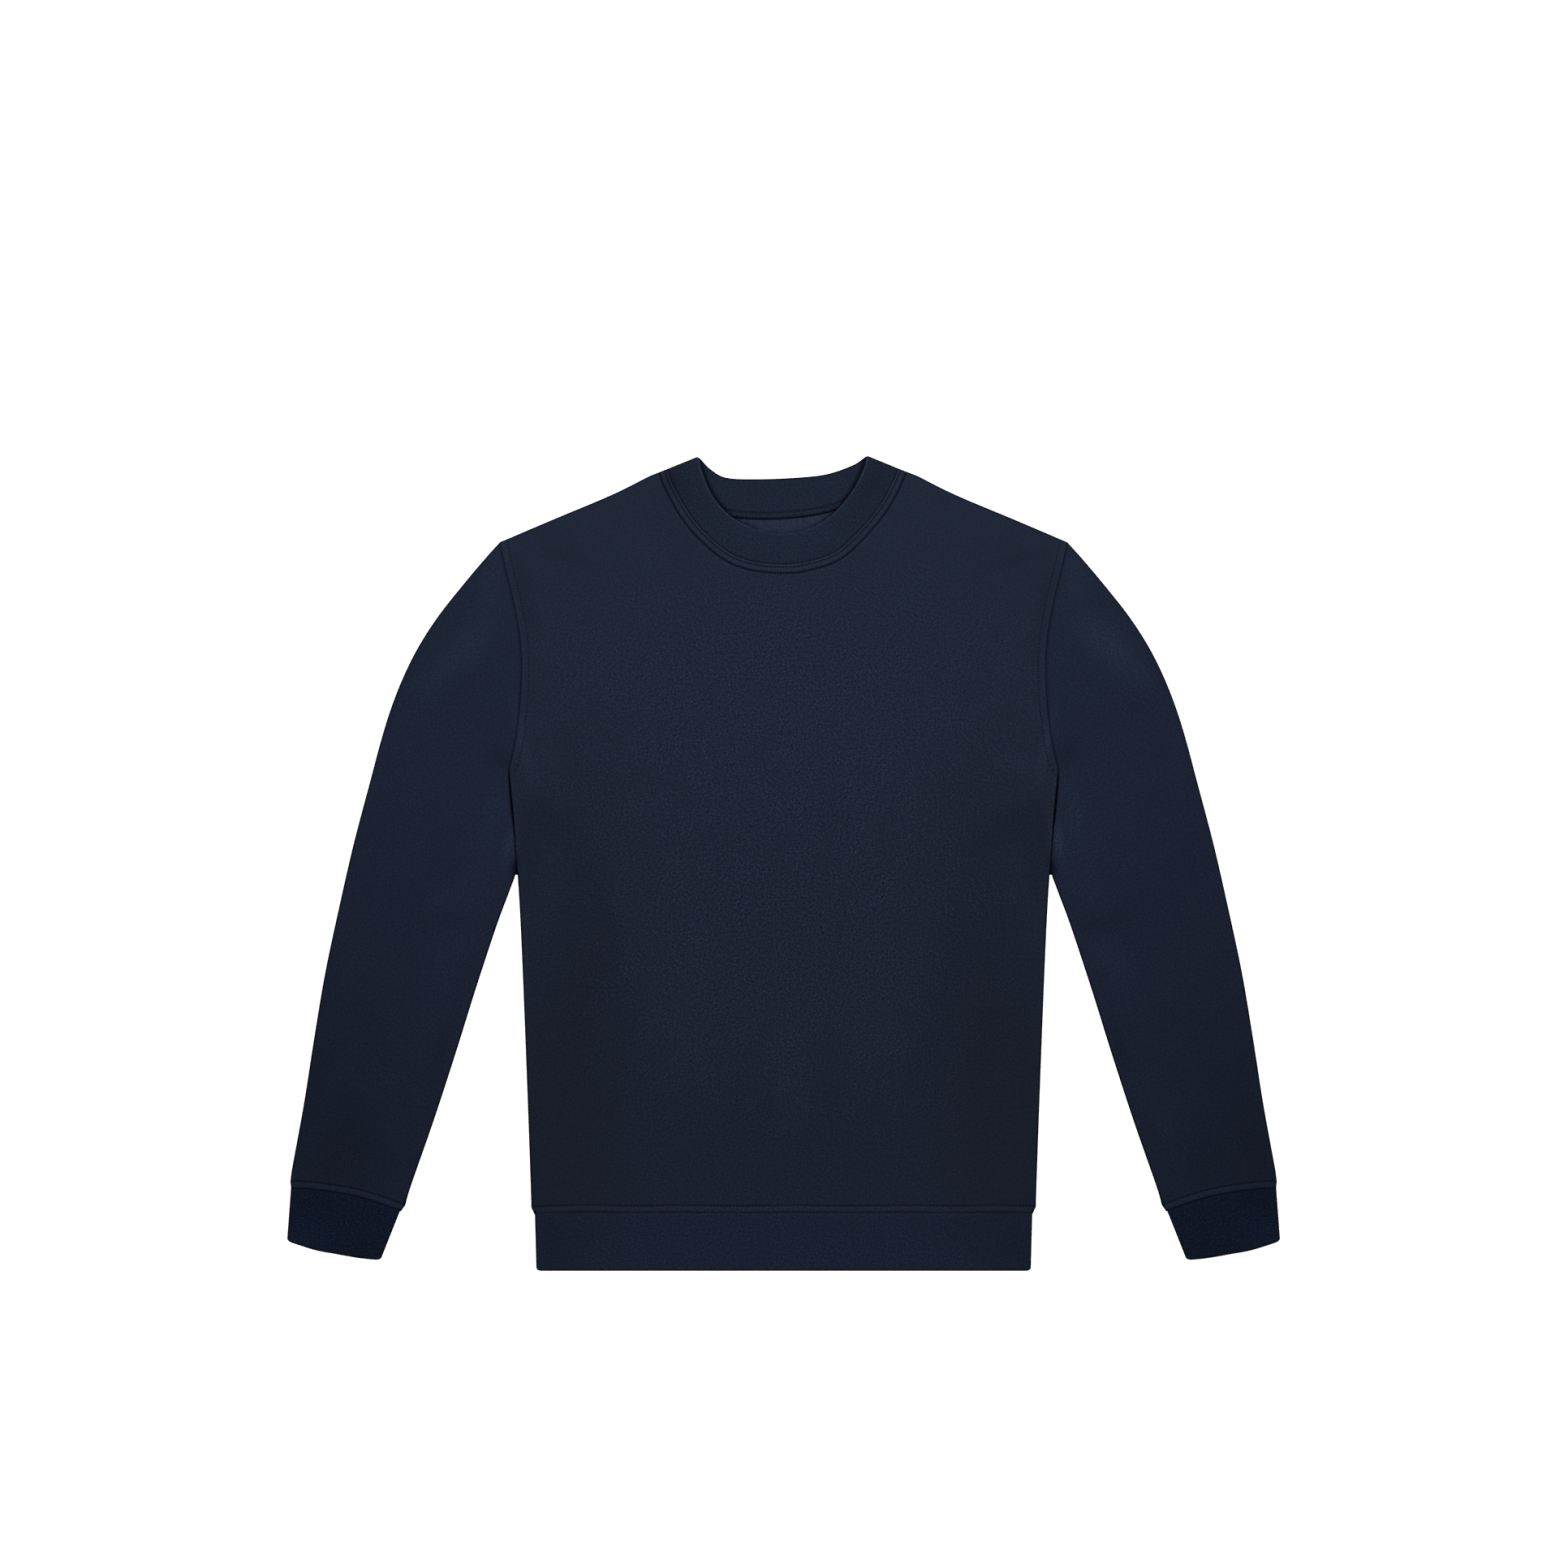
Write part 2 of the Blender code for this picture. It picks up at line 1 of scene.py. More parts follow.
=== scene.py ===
"""The looks of a dark navy crewneck sweatshirt that lies flat on its back, its front up.

Lengths are in metres, but those in the tables are in millimetres. Plan points are written as across, from
the centre line, and up, from the hem's edge. The lines and heights of the cloth are nearly those of the
solids, so each cloth takes the place of its solid. Every cloth is a closed wall on a fine grid. Strips along
the seams carry the turned cloth, its needle holes and its stitches. Two values go with each point: its shade,
which paints light and shade into the colour, with painted shade in holes, seams and along the outermost
edge, painted highlights on raised edges and soft painted patches of light and shadow, and also the paler
inside of the fleece; and its place in the knit, which the grain follows.
"""

import math
from collections import namedtuple

import bmesh
import bpy
import numpy as np
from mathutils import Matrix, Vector


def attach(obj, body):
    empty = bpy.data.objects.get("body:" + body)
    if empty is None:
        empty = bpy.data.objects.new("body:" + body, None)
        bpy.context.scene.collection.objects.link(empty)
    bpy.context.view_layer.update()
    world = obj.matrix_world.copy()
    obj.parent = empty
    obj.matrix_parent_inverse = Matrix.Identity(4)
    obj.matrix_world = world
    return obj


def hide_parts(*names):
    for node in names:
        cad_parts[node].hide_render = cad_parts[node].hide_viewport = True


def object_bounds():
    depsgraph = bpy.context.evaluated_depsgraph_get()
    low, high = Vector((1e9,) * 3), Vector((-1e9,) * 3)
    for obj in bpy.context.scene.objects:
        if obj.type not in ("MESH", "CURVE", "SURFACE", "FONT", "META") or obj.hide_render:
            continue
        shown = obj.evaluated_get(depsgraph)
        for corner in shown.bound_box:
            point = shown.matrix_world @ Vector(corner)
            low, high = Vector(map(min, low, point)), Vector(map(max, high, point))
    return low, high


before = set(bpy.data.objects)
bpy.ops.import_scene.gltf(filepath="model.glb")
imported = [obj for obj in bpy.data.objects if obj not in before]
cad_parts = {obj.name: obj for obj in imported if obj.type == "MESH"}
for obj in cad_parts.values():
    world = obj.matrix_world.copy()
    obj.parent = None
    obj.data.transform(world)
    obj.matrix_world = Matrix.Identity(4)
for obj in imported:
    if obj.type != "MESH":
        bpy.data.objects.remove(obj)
CAD_LOW, CAD_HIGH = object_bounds()
HEM_Y = CAD_LOW.y

MM = 0.001
RIGHT, LEFT = -1, 1  # the wearer's
SIDES = {"right": RIGHT, "left": LEFT}

# Cloth, all but UNDER as in the solids
FLEECE_WALL = 0.0022
RIB_WALL = 0.0026
LAYER_GAP = 0.0003
LOFT = 0.0018
LOFT_REACH = 0.075
CREASE_FADE = 0.020
HEM_FADE = 0.035
UNDER = 0.0004  # the underside's plain cloth is held off the surface by its seams

# Grids
CURVE_STEPS = 12  # between two points of a table
PANEL_STEP = 0.0040
SLEEVE_STEP = 0.0042
BACK_STEP = 0.0070
FOLD_STEPS = 5  # points round a quarter of a fold of fleece
KNIT_SAMPLES = 4  # points across a rib of the knit
STITCH_SAMPLES = 6  # points of a seam strip along a stitch
UNDERARM_EASE = 1.6  # crowds the points of a line towards the underarm
ARMHOLE_EASE = 1.4
SHARP_ANGLE = 62

PlanPoint = namedtuple("PlanPoint", "across up")
Patch = namedtuple("Patch", "across up angle half_length half_width amount")
Profile = namedtuple("Profile", "out rise shade")
StitchRow = namedtuple("StitchRow", "out pitch hole thread")
Finish = namedtuple("Finish", "columns rows narrowing")
Seam = namedtuple("Seam", "line out finish")
BandHalf = namedtuple("BandHalf", "seam edge ribs")


# Tables


def plan_line(*pairs):
    return tuple(PlanPoint(across * MM, up * MM) for across, up in pairs)


def patches(unit, *rows):
    """Places on the cloth, each with an amount in a unit. Angles are in degrees from straight across."""
    return tuple(
        Patch(across * MM, up * MM, angle, half_length * MM, half_width * MM, amount * unit)
        for across, up, angle, half_length, half_width, amount in rows
    )


def profile(*columns):
    return tuple(Profile(out * MM, rise * MM, shade) for out, rise, shade in columns)


def stitch_rows(*rows):
    return tuple(StitchRow(out * MM, pitch * MM, hole * MM, thread) for out, pitch, hole, thread in rows)


# Folds, seams and free edges, those at the sides as on the wearer's left
SIDE_FOLD = plan_line(
    (243.4, 443.9), (241.0, 420.0), (239.1, 400.0), (237.3, 370.0), (234.0, 320.0),
    (230.8, 248.8), (226.4, 133.6), (223.6, 52.2),
)
ARMHOLE_SEAM = plan_line(
    (243.4, 443.9), (236.8, 474.4), (233.1, 510.0), (232.2, 538.0), (233.3, 557.0),
    (236.4, 579.0), (242.4, 606.8), (246.6, 623.0), (251.6, 646.2),
)
SHOULDER_FOLD = plan_line(
    (251.6, 646.2), (204.2, 666.4), (152.8, 688.0), (118.2, 705.2),
)
SLEEVE_OUTER_FOLD = plan_line(
    (251.6, 646.2), (264.6, 631.8), (284.0, 608.8), (306.7, 580.0), (325.1, 551.2),
    (339.1, 522.4), (350.0, 493.6), (358.6, 464.8), (366.2, 436.0), (381.4, 378.4),
    (394.6, 320.8), (406.8, 263.2), (416.5, 205.6), (425.5, 148.0), (436.0, 90.4),
    (438.5, 76.0),
)
SLEEVE_INNER_FOLD = plan_line(
    (243.8, 443.6), (243.6, 433.0), (242.4, 416.0), (240.8, 401.0), (239.1, 388.0),
    (238.0, 373.3), (237.3, 354.0), (242.6, 337.6), (254.2, 306.4), (273.2, 248.8),
    (291.2, 191.2), (310.0, 133.6), (330.1, 76.0), (337.4, 54.4),
)
CUFF_SEAM = plan_line(
    (438.5, 73.6), (418.0, 72.4), (385.6, 67.7), (360.0, 60.6), (337.4, 52.5),
)
CUFF_TOP = plan_line(
    (436.8, 73.6), (418.0, 72.4), (385.6, 67.7), (361.0, 60.9), (340.0, 53.4),
)
CUFF_EDGE = plan_line(
    (440.3, 26.3), (415.5, 18.4), (396.7, 14.8), (375.8, 11.2), (357.5, 9.4),
)
HEM_SEAM = plan_line((-220.6, 52.2), (220.6, 52.2))
BODY_HEM = plan_line(
    (-223.6, 50.4), (-200.0, 51.6), (-170.0, 52.3), (-130.0, 51.6), (-90.0, 52.1),
    (-40.0, 51.4), (10.0, 52.1), (60.0, 51.5), (110.0, 52.1), (150.0, 51.5),
    (190.0, 52.1), (223.6, 51.0),
)
HEM_EDGE = plan_line((-219.2, 0.0), (219.2, 0.0))
NECK_FRONT_SEAM = plan_line(
    (-103.0, 711.1), (-98.9, 699.0), (-91.4, 684.6), (-81.4, 668.4), (-67.1, 652.2),
    (-47.2, 636.4), (-26.6, 628.9), (-0.4, 626.4), (21.5, 628.9), (45.2, 637.1),
    (63.0, 652.2), (77.7, 668.7), (88.6, 684.0), (97.3, 700.9), (101.4, 711.6),
)
NECK_FRONT_EDGE = plan_line(
    (-75.7, 722.1), (-70.9, 704.5), (-61.7, 685.2), (-45.7, 668.4), (-23.9, 657.5),
    (-0.4, 653.6), (23.2, 658.3), (43.3, 670.9), (60.1, 690.3), (71.1, 711.2),
    (73.8, 722.9),
)
NECK_BACK_SEAM = plan_line(
    (-103.0, 711.1), (-88.0, 693.5), (-69.0, 681.2), (-42.3, 673.9), (-8.8, 672.5),
    (24.8, 675.7), (50.0, 682.2), (80.0, 696.5), (101.4, 711.6),
)
NECK_BACK_EDGE = plan_line(
    (-75.7, 722.1), (-64.2, 710.4), (-50.0, 703.2), (-22.2, 702.1), (11.4, 703.4),
    (38.3, 706.5), (61.8, 714.6), (73.8, 722.9),
)

# Soft folds: those of the solids. The amount is the height.
CREASES = patches(
    MM,
    (-212, 425, 22, 45, 18, 1.4), (210, 421, -25, 50, 18, 1.3),
    (-200, 630, -18, 45, 17, 0.9), (204, 627, 20, 40, 17, 1),
    (-283, 553, 58, 32, 18, 1.3), (281, 549, -55, 36, 18, 1.2),
    (-272, 392, 72, 45, 20, 1.3), (276, 386, -70, 42, 20, 1.4),
    (-300, 305, 18, 38, 18, 1.5), (303, 300, -20, 36, 18, 1.4),
    (-318, 258, 40, 40, 20, 1), (322, 250, -36, 40, 20, 1.1),
    (-368, 170, 75, 50, 20, 0.9), (372, 180, -78, 55, 20, 0.8),
    (-150, 120, 84, 60, 26, 0.8), (10, 105, 93, 50, 28, 0.7),
    (165, 130, 99, 65, 26, 0.8),
)

# Soft patches of painted light and shadow, on both layers. The amount is added to the shade.
PAINTED_LIGHT_PATCHES = patches(
    1,
    # Shoulders and neck
    (-257, 620, 75, 30, 10, 0.13), (257, 620, -75, 30, 10, 0.14),
    (-191, 632, -17, 30, 6, -0.13), (205, 630, 14, 30, 6, -0.13),
    (-101, 699, -72, 15, 8, -0.20), (-88, 692, -58, 30, 13, -0.12),
    (80, 696, 60, 34, 13, -0.14), (-100, 664, -50, 30, 14, -0.07),
    (-229, 596, 102, 45, 8, -0.09), (230, 590, 78, 45, 8, -0.09),
    (-213, 653, -22, 40, 8, -0.04), (213, 653, 22, 40, 8, -0.04),
    (-73, 628, -45, 30, 20, -0.05), (64, 628, 45, 30, 20, -0.05),
    # Upper sleeves
    (-288, 548, 47, 34, 14, 0.19), (288, 555, -45, 32, 14, 0.32),
    (-314, 512, 60, 30, 9, 0.09), (316, 524, -52, 26, 9, 0.09),
    (-314, 494, -35, 16, 8, -0.05), (313, 501, 30, 20, 8, -0.09),
    (-339, 524, 62, 35, 6, -0.15), (340, 524, -62, 35, 6, -0.17),
    (-282, 518, 40, 22, 14, -0.05),
    # Underarms, and the armholes above them
    (-202, 392, -20, 40, 18, -0.10), (200, 392, 20, 40, 18, -0.10),
    (-206, 454, 10, 20, 12, 0.05), (208, 448, -10, 20, 12, 0.08),
    (-249, 453, -50, 18, 11, -0.15), (249, 458, 50, 18, 11, -0.17),
    (-243.5, 377, 82, 17, 4.5, 0.38), (243.5, 381, -82, 17, 4.5, 0.46),
    (-238.2, 358, 78, 9, 3.2, -0.60), (238.2, 359, -78, 9, 3.2, -0.60),
    (-227, 370, 90, 38, 10, -0.16), (227, 366, 90, 40, 10, -0.16),
    (-216, 414, -40, 22, 6, -0.08), (214, 410, 40, 22, 6, -0.08),
    (-259, 392, 75, 45, 12, 0.13), (259, 396, -75, 45, 12, 0.13),
    (-234, 476, 102, 36, 4, 0.20), (234, 470, 78, 36, 4, 0.24),
    (-184, 456, 80, 20, 12, -0.05), (196, 438, 80, 25, 12, -0.07),
    # Elbows and lower sleeves
    (-298, 312, -12, 28, 10, -0.08), (284, 308, 18, 28, 8, -0.16),
    (-303, 250, 60, 20, 16, 0.06), (302, 250, -60, 22, 16, 0.07),
    (-400, 100, 78, 35, 20, -0.08), (417, 100, -78, 40, 20, -0.12),
    (-303, 198, 72, 30, 7, -0.10), (298, 198, -72, 26, 6, -0.17),
    (331, 141, -70, 30, 10, 0.08), (-400, 170, 78, 90, 50, -0.08),
    (400, 170, -78, 90, 50, -0.08), (-372, 112, 75, 30, 18, -0.09),
    (371, 112, -75, 30, 16, -0.09), (-296, 330, 30, 20, 12, 0.06),
    (-296, 290, 30, 28, 14, 0.10), (284, 283, -40, 24, 14, 0.11),
    (276, 339, -50, 14, 12, 0.06), (-424, 150, 80, 80, 8, -0.05),
    (-345, 100, 60, 30, 8, -0.04), (352, 135, -75, 30, 12, 0.05),
    # Cuffs
    (-425, 29, 10, 20, 12, 0.30), (427, 31, -10, 20, 12, 0.24),
    # Front
    (-182, 235, 88, 170, 40, -0.175), (178, 235, 92, 170, 42, -0.175),
    (-83, 250, 88, 80, 20, 0.05), (4, 190, 90, 90, 14, 0.05),
    (78, 250, 92, 80, 20, 0.05), (-220, 160, 88, 160, 12, -0.09),
    (218, 160, 92, 160, 12, -0.09), (-146, 165, 85, 50, 10, -0.05),
    (-212, 285, 90, 50, 12, 0.05), (210, 285, 90, 50, 12, 0.05),
    (10, 64, 0, 100, 14, 0.05), (-159, 290, 90, 60, 15, -0.04),
    (136, 165, 95, 50, 15, -0.04), (172, 290, 90, 35, 18, 0.04),
    # Hem band
    (-206, 25, 90, 30, 18, -0.12), (206, 25, 90, 30, 18, -0.12),
    (-178, 24, 0, 35, 18, -0.04), (170, 24, 0, 35, 18, -0.04),
)

# Seams, as profiles across the strip: out from the seam line onto the fleece, rise, and shade, which is
# painted shade in the seam and the stitch grooves and a painted highlight on the raised edges
NECK_PROFILE = profile(
    (-0.4, -1.6, 0.25), (-0.1, -0.7, 0.30), (0.3, 0.0, 1.00), (0.8, 0.5, 1.60),
    (1.3, 0.6, 1.50), (1.8, 0.4, 1.10), (2.2, 0.1, 1.00), (2.5, 0.0, 0.96),
    (2.8, 0.1, 1.00), (3.3, 0.4, 1.08), (4.2, 0.8, 1.18), (5.3, 0.9, 1.14),
    (6.4, 0.8, 1.08), (7.2, 0.5, 0.92), (7.7, 0.1, 0.62), (8.0, -0.1, 0.52),
    (8.3, 0.0, 0.60), (8.9, 0.2, 0.98), (9.8, 0.2, 1.16), (11.0, 0.1, 1.02),
    (12.2, -0.2, 1.00),
)
HEM_PROFILE = profile(
    (-0.4, -1.6, 0.40), (-0.1, -0.7, 0.50), (0.4, 0.1, 0.90), (1.0, 0.5, 1.18),
    (2.0, 0.6, 1.24), (3.2, 0.6, 1.24), (4.5, 0.6, 1.22), (5.4, 0.4, 1.18),
    (5.9, 0.1, 0.98), (6.3, 0.0, 0.90), (6.7, 0.1, 0.96), (7.3, 0.2, 1.04),
    (8.2, 0.1, 1.00), (9.2, -0.2, 1.00),
)
ARMHOLE_PROFILE = profile(
    (-0.4, -1.4, 0.40), (-0.1, -0.6, 0.50), (0.4, 0.1, 1.00), (1.0, 0.4, 1.16),
    (2.0, 0.4, 1.06), (3.5, 0.4, 1.03), (5.0, 0.3, 1.00), (5.8, 0.2, 1.06),
    (6.2, 0.1, 1.00), (6.5, 0.0, 0.92), (6.8, 0.1, 0.96), (7.5, 0.2, 1.03),
    (8.5, 0.1, 1.01), (9.6, -0.2, 1.00),
)

# Rows of stitches: out from the seam line, a stitch's length, a hole's radius, and the thread's shade
NECK_ROWS = stitch_rows((2.5, 2.28, 0.66, 1.05), (8.0, 2.28, 0.78, 0.60))
HEM_ROWS = stitch_rows((6.3, 2.85, 0.88, 0.95))
CUFF_ROWS = stitch_rows((6.3, 2.70, 0.78, 0.90))
ARMHOLE_ROWS = stitch_rows((6.5, 2.60, 0.48, 1.30))

# What a seam's strip is made of, and how much narrower it is along the seam, as a share of its length
NECK_FINISH = Finish(NECK_PROFILE, NECK_ROWS, 0)
HEM_FINISH = Finish(HEM_PROFILE, HEM_ROWS, 0.0115)
CUFF_FINISH = Finish(HEM_PROFILE, CUFF_ROWS, 0.034)
ARMHOLE_FINISH = Finish(ARMHOLE_PROFILE, ARMHOLE_ROWS, 0)


# Curves in plan


def run_along(line):
    """Gives how far along a polyline each of its points lies."""
    return np.concatenate([[0], np.cumsum(np.linalg.norm(np.diff(line, axis=0), axis=1))])


def length_of(line):
    return run_along(line)[-1]


def spaced(line, shares):
    """Gives the points of a polyline at shares of its length."""
    run = run_along(line)
    wanted = np.asarray(shares) * run[-1]
    return np.stack([np.interp(wanted, run, line[:, axis]) for axis in (0, 1)], axis=1)


def stepped(line, step):
    """Gives points evenly spaced along a polyline, about a step apart."""
    return spaced(line, np.linspace(0, 1, round(length_of(line) / step)))


def curve_at(points, shares):
    """Gives the points at shares of the length of a smooth curve through a table's points."""
    knots = np.array(points)
    padded = np.vstack([2 * knots[0] - knots[1], knots, 2 * knots[-1] - knots[-2]])
    share = np.linspace(0, 1, CURVE_STEPS, endpoint=False)[:, None]
    spans = []
    for before, start, end, after in zip(padded, padded[1:], padded[2:], padded[3:]):
        slope = (end - before) * share
        bend = (2 * before - 5 * start + 4 * end - after) * share**2
        turn = (3 * start - before - 3 * end + after) * share**3
        spans.append(start + 0.5 * (slope + bend + turn))
    return spaced(np.vstack(spans + [knots[-1:]]), shares)


def smooth_curve(points, count, ease=1):
    return curve_at(points, np.linspace(0, 1, count) ** ease)


def mirrored(line, side):
    """Puts a line drawn on the wearer's left, where across is positive, on the given side."""
    return np.array(line) * np.array([side, 1])


def way(start, end):
    return np.array(end) - np.array(start)


def unit(vectors):
    return vectors / np.maximum(np.linalg.norm(vectors, axis=-1, keepdims=True), 1e-12)


def left_of(line):
    """Unit vectors to the left of the way a polyline runs."""
    along = unit(np.gradient(line, axis=0))
    return np.stack([-along[:, 1], along[:, 0]], axis=1)


def eased(share):
    """A smooth step from 0 to 1."""
    share = np.clip(share, 0, 1)
    return share * share * (3 - 2 * share)


def bell(distance, width):
    """1 at no distance, and fading over a width."""
    return np.exp(-((distance / width) ** 2))


def distance_to(lines, points, reach=LOFT_REACH):
    """Gives each point's distance to the nearest of some polylines, or reach where none is nearer."""
    flat = points.reshape(-1, 2)
    nearest = np.full(len(flat), reach)
    batch = 10
    for line in lines:
        for first in range(0, len(line) - 1, batch):
            part = line[first : first + batch + 1]
            inside = (flat > part.min(axis=0) - reach) & (flat < part.max(axis=0) + reach)
            near = np.flatnonzero(inside.all(axis=1))
            if len(near) == 0:
                continue
            starts, edges = part[:-1], np.diff(part, axis=0)
            away = flat[near][:, None] - starts
            share = np.clip((away * edges).sum(axis=-1) / (edges * edges).sum(axis=-1), 0, 1)
            gaps = np.linalg.norm(away - share[..., None] * edges, axis=-1).min(axis=1)
            nearest[near] = np.minimum(nearest[near], gaps)
    return nearest.reshape(points.shape[:-1])


# Seam lines

FAN = 0.012  # over which a seam's sections turn to the fold at its end
STRIP_LAP = 0.0011  # of a strip's outer edge over the cloth beside it
NARROWING_REACH = 0.0060
NECK_POINT = {RIGHT: NECK_FRONT_SEAM[0], LEFT: NECK_FRONT_SEAM[-1]}
NECK_TIP = {RIGHT: NECK_FRONT_EDGE[0], LEFT: NECK_FRONT_EDGE[-1]}


def sewn(table, side, finish, outward, start_out, end_out):
    """A seam's points, a whole number of stitches apart, and the unit way out onto the fleece from each.

    outward is 1 where the fleece lies to the left of the way that the table runs, and -1 where it lies to the
    right. The way out is square to the seam, and turns to the fold's way at each end.
    """
    dense = smooth_curve(table, count=400)
    stitches = round(length_of(dense) / finish.rows[0].pitch)
    line = spaced(dense, np.linspace(0, 1, stitches * STITCH_SAMPLES + 1))
    run = np.linspace(0, length_of(line), len(line))
    out = outward * left_of(line)
    for fold_way, distance in ((start_out, run), (end_out, run[-1] - run)):
        near = (1 - eased(distance / FAN))[:, None]
        out = unit(out * (1 - near) + near * unit(fold_way))
    return Seam(mirrored(line, side), mirrored(out, side), finish)


def neck_seam(table):
    """A neckline, whose ends open along the shoulder folds."""
    ways = [way(NECK_POINT[side], mirrored(SHOULDER_FOLD[-1], side)) for side in (RIGHT, LEFT)]
    return sewn(table, LEFT, NECK_FINISH, -1, *ways)


def hem_seam():
    """The body's hem, whose ends open along the side folds."""
    ways = [mirrored(way(SIDE_FOLD[-1], SIDE_FOLD[-2]), side) for side in (RIGHT, LEFT)]
    return sewn(BODY_HEM, LEFT, HEM_FINISH, 1, *ways)


def armhole_seam(side):
    """An armhole, on the body's side of its seam, from the underarm to the shoulder."""
    ways = way(*SIDE_FOLD[:2]), way(*SHOULDER_FOLD[:2])
    return sewn(ARMHOLE_SEAM, side, ARMHOLE_FINISH, 1, *ways)


def sleeve_end_seam(side):
    """A sleeve's end, on the sleeve's side of the cuff's seam."""
    ways = [way(fold[-1], fold[-2]) for fold in (SLEEVE_OUTER_FOLD, SLEEVE_INNER_FOLD)]
    return sewn(CUFF_SEAM, side, CUFF_FINISH, -1, *ways)


NECK_FRONT = neck_seam(NECK_FRONT_SEAM)
NECK_BACK = neck_seam(NECK_BACK_SEAM)
HEM = hem_seam()
ARMHOLE = {side: armhole_seam(side) for side in (RIGHT, LEFT)}
SLEEVE_END = {side: sleeve_end_seam(side) for side in (RIGHT, LEFT)}


def strip_plan(seam, outs):
    """Plan points by row along a seam's strip and column across it."""
    plan = seam.line[:, None] + outs[:, None] * seam.out[:, None]
    middle = seam.line[len(seam.line) // 2]
    return plan - (seam.finish.narrowing * (1 - eased(outs / NARROWING_REACH)))[:, None] * (plan - middle)


def stop_line(seam):
    """Where the plain cloth stops, under the outer edge of a seam's strip."""
    return seam.line + (seam.finish.columns[-1].out - STRIP_LAP) * seam.out


# Folds and free edges


def shoulder_line(side, count):
    """The shoulder fold, from the shoulder's point to the neckband."""
    line = mirrored(smooth_curve(SHOULDER_FOLD, count), side)
    return np.vstack([line, NECK_POINT[side]])


def side_lines(side):
    """The lines on one side along which the lower and the upper layer meet."""
    end = 0 if side == RIGHT else -1
    return [
        mirrored(smooth_curve(SIDE_FOLD, SIDE_ROWS, UNDERARM_EASE), side),
        mirrored(smooth_curve(SLEEVE_OUTER_FOLD, SLEEVE_SECTIONS), side),
        mirrored(smooth_curve(SLEEVE_INNER_FOLD, SLEEVE_SECTIONS, UNDERARM_EASE), side),
        mirrored([CUFF_TOP[0], CUFF_EDGE[0]], side),
        mirrored([CUFF_TOP[-1], CUFF_EDGE[-1]], side),
        shoulder_line(side, count=40),
        np.array([NECK_POINT[side], NECK_TIP[side]]),
        np.array([HEM_SEAM[end], HEM_EDGE[end]]),
    ]


def narrowed_ends():
    """The folds at the ends of the hem's strip and of the sleeves' strips."""
    outs = np.linspace(0, NARROWING_REACH, 8)
    plans = [strip_plan(seam, outs) for seam in (HEM, *SLEEVE_END.values())]
    return [plan[end] for plan in plans for end in (0, -1)]


def rim_lines():
    """The free edges of the hem band, the cuffs and the back of the neckband."""
    cuffs = [mirrored(smooth_curve(CUFF_EDGE, count=20), side) for side in (RIGHT, LEFT)]
    return cuffs + [np.array(HEM_EDGE), smooth_curve(NECK_BACK_EDGE, count=60)]


SIDE_ROWS = round(length_of(np.array(SIDE_FOLD)) / PANEL_STEP)
SLEEVE_SECTIONS = round(length_of(np.array(SLEEVE_OUTER_FOLD)) / SLEEVE_STEP)
FOLDS = side_lines(RIGHT) + side_lines(LEFT) + narrowed_ends()
RIMS = rim_lines()
NECK_RIM = smooth_curve(NECK_FRONT_EDGE, count=80)
BODY_SIDE = smooth_curve(SIDE_FOLD, count=60)[::-1]
TUCK_END = 0.3510  # how far up the body and the sleeve stop touching below the underarm


# Heights


def spread(points, patch):
    """A patch's strength at points: 1 at its middle, and fading over its half length and half width."""
    angle = math.radians(patch.angle)
    away = points - np.array([patch.across, patch.up])
    along = (away @ np.array([math.cos(angle), math.sin(angle)])) / patch.half_length
    beside = (away @ np.array([-math.sin(angle), math.cos(angle)])) / patch.half_width
    return np.exp(-(along**2) - beside**2)


def loft_start(points):
    """How far up the loft starts: half way up the hem band, and at the cuffs' seams on the sleeves."""
    across = np.abs(points[..., 0])
    seam_across, seam_up = np.array(CUFF_SEAM)[::-1].T
    return np.where(across < seam_across[0], HEM_SEAM[0].up / 2, np.interp(across, seam_across, seam_up))


def lift(points, fold_distance):
    """How far the upper layer stands above its lowest place: a slight loft, and the creases."""
    height = LOFT * eased(fold_distance / LOFT_REACH)
    for crease in CREASES:
        height = height + crease.amount * spread(points, crease) * eased(fold_distance / CREASE_FADE)
    return height * eased((points[..., 1] - loft_start(points)) / HEM_FADE)


def fold_radius(wall=FLEECE_WALL):
    """The outer radius of a fold, which is also the height of the middle of the gap between the layers."""
    return wall + LAYER_GAP / 2


def outer_heights(points, upper, wall=FLEECE_WALL):
    """Heights of a layer's outer face: flat, and rounded down or up to the folds."""
    radius = fold_radius(wall)
    distance = distance_to(FOLDS, points)
    bend = np.sqrt(radius**2 - (radius - np.minimum(distance, radius)) ** 2)
    if upper:
        return radius + bend + lift(points, distance)
    return np.maximum(radius - bend, UNDER)


def inner_heights(points, upper, wall=FLEECE_WALL):
    """Heights of a layer's inner face, beside the gap."""
    radius = fold_radius(wall)
    if upper:
        return radius + LAYER_GAP / 2 + lift(points, distance_to(FOLDS, points))
    return np.full(points.shape[:-1], radius - LAYER_GAP / 2)


def placed(points, heights):
    """Plan points and heights as places in the shared frame."""
    return np.stack([points[..., 0], points[..., 1] + HEM_Y, heights], axis=-1)


# Painted light and shade

NEAR = 0.01  # how far from a line its own shade can reach
# Painted shade along the outermost edge, where the cloth turns under
EDGE_DARKNESS = 0.96
EDGE_BLACK = 0.0009
EDGE_FADE = 0.0006
